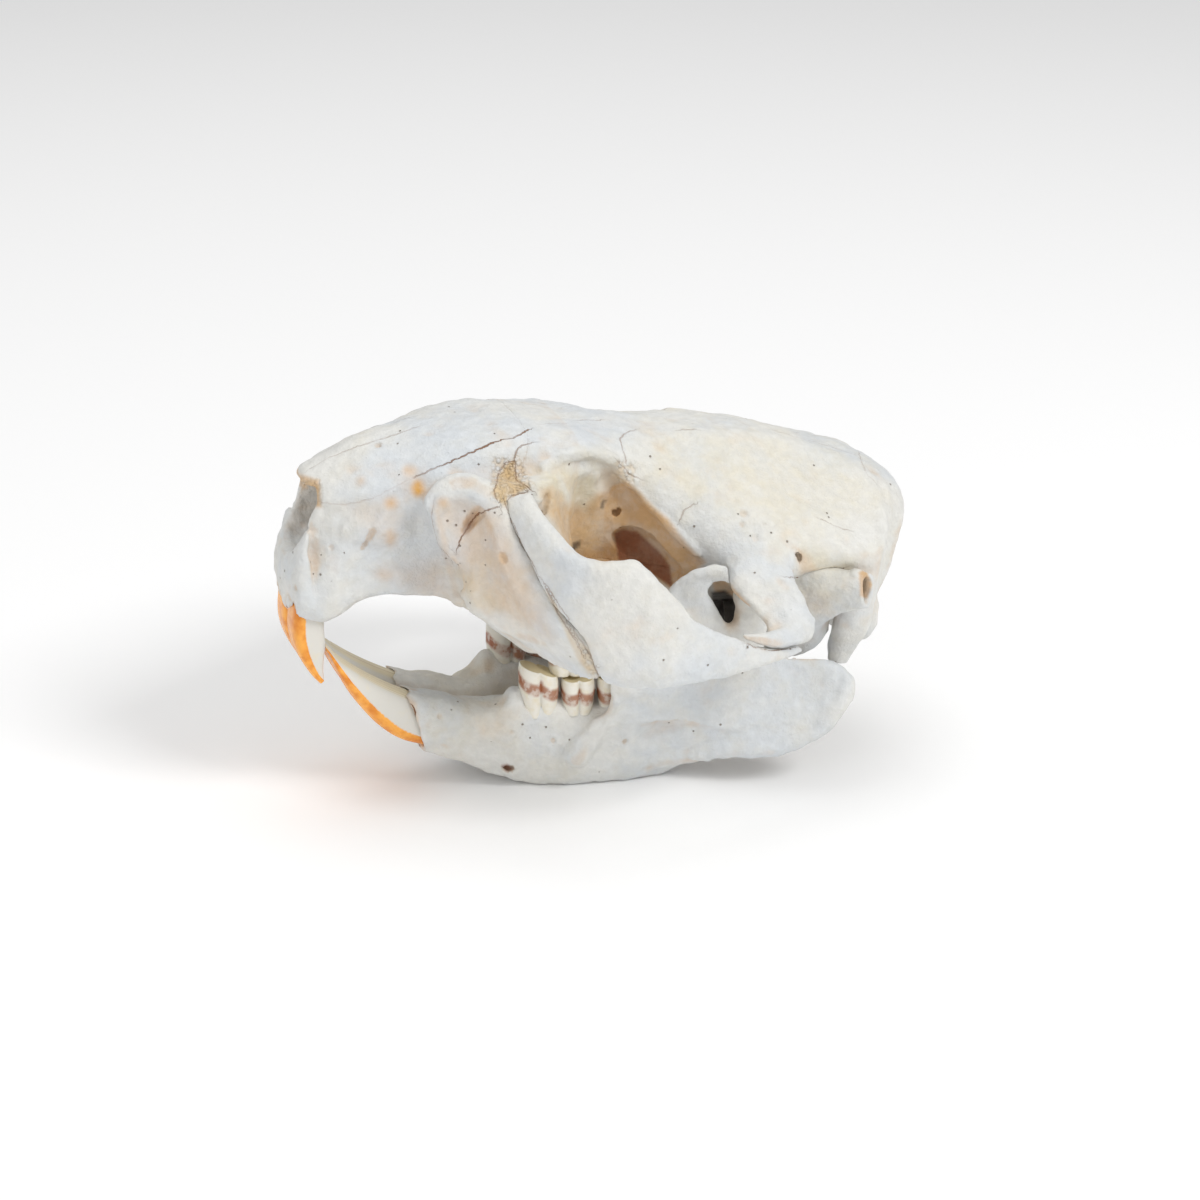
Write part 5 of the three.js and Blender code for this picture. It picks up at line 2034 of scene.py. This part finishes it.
@dataclass(frozen=True)
class GnawingTeeth:
    """The four incisors: a curved rod with a chisel tip, orange in front."""

    upper: Shaft = Shaft(
        (
            ((-62.6, 4.2, 51), (-57, 4.2, 49.4), 3.6),
            ((-64.6, 4.2, 47), (-58.6, 4.2, 45.8), 4),
            ((-65.6, 4.2, 40.6), (-59.2, 4.2, 40.2), 4.05),
            ((-65.3, 4.2, 36.6), (-59.1, 4.2, 36), 4.05),
            ((-64, 4.2, 33), (-59.5, 4.2, 33.4), 4),
            ((-62.2, 4.1, 29.8), (-59.8, 4.1, 30.8), 3.8),
            ((-60.8, 4, 28), (-59.8, 4, 28.8), 3.4),
        ),
        power=3.8,
        around=64,
    )
    upper_edge: tuple = (0.3, 0.3, 0.3, 0.28, 0.2, 0.0, -0.6)
    lower_edge: tuple = (-0.8, -0.45, -0.05, 0.15, 0.3, 0.45, 0.55, 0.55)
    lower: Shaft = Shaft(
        (
            ((-59, 4.3, 35.6), (-58.7, 4.3, 34.4), 3.2),
            ((-56.6, 4.4, 32.4), (-57.3, 4.4, 30.4), 3.6),
            ((-53.7, 4.6, 30), (-55.3, 4.6, 26), 3.8),
            ((-50.4, 4.8, 27.6), (-52.8, 4.8, 21.9), 3.9),
            ((-46.6, 5, 25.2), (-48.9, 5, 16.9), 3.9),
            ((-42.6, 5.1, 23), (-44.2, 5.1, 13.1), 3.9),
            ((-36, 5.1, 19.6), (-37.6, 5.1, 10.6), 3.8),
            ((-29, 5.2, 15.6), (-30, 5.2, 8.4), 3),
        ),
        power=2.6,
        around=64,
    )

    def build(self, side: Side) -> list:
        """The two front teeth of one side.

        Args:
            side: the side of the animal.

        Returns:
            The upper and the lower tooth.
        """
        pieces = []
        for word, shaft, front, edges in (
            ("upper", self.upper, 1.0, self.upper_edge),
            ("lower", self.lower, -1.0, self.lower_edge),
        ):
            skin = outward_skin(shaft.skin(side))
            name = f"{word}_incisor_{side.word}"
            piece = add_piece(name + "_tooth", skin, Slot.ENAMEL, [name], ready(GnawingEnamel()))
            rows = (len(shaft.stations) - 1) * shaft.steps + 1
            angle = 2 * math.pi * np.arange(shaft.around) / shaft.around
            u = bent(np.sin(angle), 2 / shaft.power)[None] * front
            along = np.linspace(0, 1, rows)[:, None]
            edge = np.interp(along, np.linspace(0, 1, len(edges)), edges)
            facet = np.repeat(ease(-u, 0.78, 0.93), rows, 0) * (word == "lower")
            band = bent(np.cos(angle), 2 / shaft.power)[None] + 2.0 * u
            layers = {"front": u - edge, "facet": facet, "band": np.repeat(band, rows, 0)}
            paint(piece, **{key: np.r_[value.ravel(), 0.0, 0.0] for key, value in layers.items()})
            pieces.append(piece)
        return pieces


def outward_skin(skin: Skin) -> Skin:
    """The skin with its faces turned outwards, told by the sign of its volume.

    Args:
        skin: a closed skin.

    Returns:
        The same skin, turned inside out where its volume was negative.
    """
    a, b, c, d = (skin.points[skin.quads[:, k]] for k in range(4))
    volume = np.einsum("ij,ij->", a, np.cross(b, c)) + np.einsum("ij,ij->", a, np.cross(c, d))
    if volume > 0:
        return skin
    return Skin(skin.points, skin.quads[:, ::-1], skin.triangles[:, ::-1])


@dataclass(frozen=True)
class CheekTeeth:
    """A row of four folded cheek teeth on one side, above or below.

    The rings of a tooth run up its wall, round the rim and inwards over the worn top. turn is
    the first tooth's turn about its own axis, and each tooth further back is turned more and is
    a little narrower.
    """

    word: str
    lengths: tuple
    front_x: float
    first_y: float
    crowns: tuple
    tilts: tuple
    root_z: float
    half_width: float = 3.7
    gap: float = 0.5
    spread: float = 0.19
    fold: float = 1.1
    narrowing: float = 0.04
    turn: float = 0.12
    more_turn: float = 0.05
    dish: float = 0.35
    wall_rings: int = 30
    rim_rings: int = 4
    top_rings: int = 12
    around: int = 96

    def tooth(self, number: int, start_x: float) -> tuple:
        """One tooth: rings from the root to the crown's rim, then inwards over the worn top.

        Args:
            number: its place in the row, 0 in front.
            start_x: where it begins.

        Returns:
            The closed skin, Y positive, and its tartar and worn layers.
        """
        length = self.lengths[number]
        width = self.half_width * (1 - self.narrowing * number)
        x0 = start_x + length / 2
        y0 = self.first_y + (x0 - self.front_x) * self.spread
        turn = self.turn + self.more_turn * number
        angle = 2 * math.pi * np.arange(self.around) / self.around
        outer, top = self.wall_rings + self.rim_rings, self.top_rings
        up = np.r_[
            np.linspace(1, 0.03, self.wall_rings),
            np.linspace(0.02, 0.0, self.rim_rings),
            np.zeros(top),
        ]
        scale = np.interp(up, [0, 0.03, 0.12, 0.4, 1], [0.93, 0.975, 1, 1.02, 0.86])
        inward = np.r_[np.ones(outer), np.linspace(0.96, 0.04, top)]
        dish = np.r_[np.zeros(outer), self.dish * np.sin(np.linspace(0.2, math.pi / 2, top))]
        a = bent(np.cos(angle), 0.7)
        lobes = np.sqrt(np.maximum(1 - (2 * np.abs(a) - 1) ** 2, 0))
        b = bent(np.sin(angle), 0.6) * (width - self.fold * (1 - lobes))
        a = a * (length / 2 - self.gap / 2)
        size = (scale * inward)[:, None]
        x = x0 + (a * math.cos(turn) - b * math.sin(turn))[None] * size
        y = y0 + (a * math.sin(turn) + b * math.cos(turn))[None] * size
        crown = self.crowns[number] + self.tilts[number] * (x - x0)
        z = crown + (self.root_z - crown) * up[:, None]
        z = z + dish[:, None] * np.sign(self.root_z - crown)
        rows = np.stack([x, y, z], -1)
        low = ease(1 - np.abs(np.abs(crown - z) - 3.0 - 0.9 * lobes[None]) / 1.7, 0.0, 0.5)
        hollow = 0.8 + 0.2 * ease(1 - lobes, 0.2, 0.8)[None]
        tartar = low * hollow
        worn = np.repeat(np.r_[np.zeros(outer), np.ones(top)][:, None], self.around, 1)
        return Skin.over(rows), np.r_[tartar.ravel(), 0, 0], np.r_[worn.ravel(), 1, 1]

    def build(self, side: Side) -> list:
        """The row's teeth, each a piece of its own.

        Args:
            side: the side of the animal.

        Returns:
            The pieces, from the front.
        """
        pieces = []
        x = self.front_x
        for number, length in enumerate(self.lengths):
            skin, tartar, worn = self.tooth(number, x)
            skin = outward_skin(skin.mirrored(side))
            name = f"{self.word}_cheek_tooth_{number + 1}_{side.word}"
            piece = add_piece(name, skin, Slot.ENAMEL, [], ready(CheekEnamel()))
            paint(piece, tartar=tartar, worn=worn)
            pieces.append(piece)
            x += length
        return pieces


@dataclass(frozen=True)
class Studio:
    """A pale sweep of paper under the skull and three soft lamps.

    Each lamp is (name, place, width, watts), in metres, and all look at the point aim.
    """

    floor_size: float = 4.0
    lamps: tuple = (
        ("key", (0.48, -0.7, 0.85), 0.4, 6.2),
        ("fill", (-0.8, -0.6, 0.45), 0.9, 1.9),
        ("top", (-0.1, 0.3, 1.0), 0.8, 2.9),
    )
    aim: tuple = (0, 0, 0.035)
    room: str = "#ffffff"
    room_light: float = 0.5

    def build(self) -> None:
        """Floor, lamps and the pale room light."""
        bpy.ops.mesh.primitive_plane_add(size=self.floor_size)
        floor = bpy.context.object
        floor.name = "studio_floor"
        floor.data.materials.append(StudioPaper().material())
        for name, place, size, watts in self.lamps:
            lamp = bpy.data.lights.new(name, "AREA")
            lamp.size, lamp.energy = size, watts
            holder = bpy.data.objects.new(name, lamp)
            bpy.context.scene.collection.objects.link(holder)
            holder.location = place
            way = Vector(self.aim) - Vector(place)
            holder.rotation_euler = way.to_track_quat("-Z", "Y").to_euler()
        world = bpy.data.worlds.new("room")
        world.use_nodes = True
        background = world.node_tree.nodes["Background"]
        background.inputs["Color"].default_value = linear(self.room)
        background.inputs["Strength"].default_value = self.room_light
        bpy.context.scene.world = world
        bpy.context.scene.view_settings.view_transform = "Standard"


def main() -> None:
    """Build every sub-assembly in order and report each piece."""
    logging.basicConfig(level=logging.INFO, format="%(name)s %(message)s")
    teeth, jaw, ear, upper = GnawingTeeth(), LowerJaw(), EarBulla(), UpperSkull()
    lower_row = CheekTeeth(
        word="lower",
        lengths=(8.3, 7.2, 7.0, 6.5),
        front_x=-21,
        first_y=10.2,
        crowns=(26.6, 24.5, 24.3, 24.2),
        tilts=(-0.4, 0.0, 0.0, 0.0),
        root_z=17.0,
    )
    upper_row = CheekTeeth(
        word="upper",
        lengths=(7.8, 6.9, 6.6, 6.1),
        front_x=-14.6,
        first_y=9.8,
        crowns=(25.1, 24.9, 24.7, 24.6),
        tilts=(-0.04, 0.0, 0.0, 0.0),
        root_z=35.9,
    )
    pieces = upper.build(ear, jaw, teeth)
    for side in Side:
        pieces += [CheekArch().build(side, upper), ear.build(side), jaw.build(side, teeth)]
        pieces += teeth.build(side) + lower_row.build(side) + upper_row.build(side)
    for piece in pieces:
        mesh = piece.data
        LOG.info("%s: %d points, %d faces", piece.name, len(mesh.vertices), len(mesh.polygons))
    Studio().build()
    VIEW.set_camera()


if __name__ == "__main__":
    main()
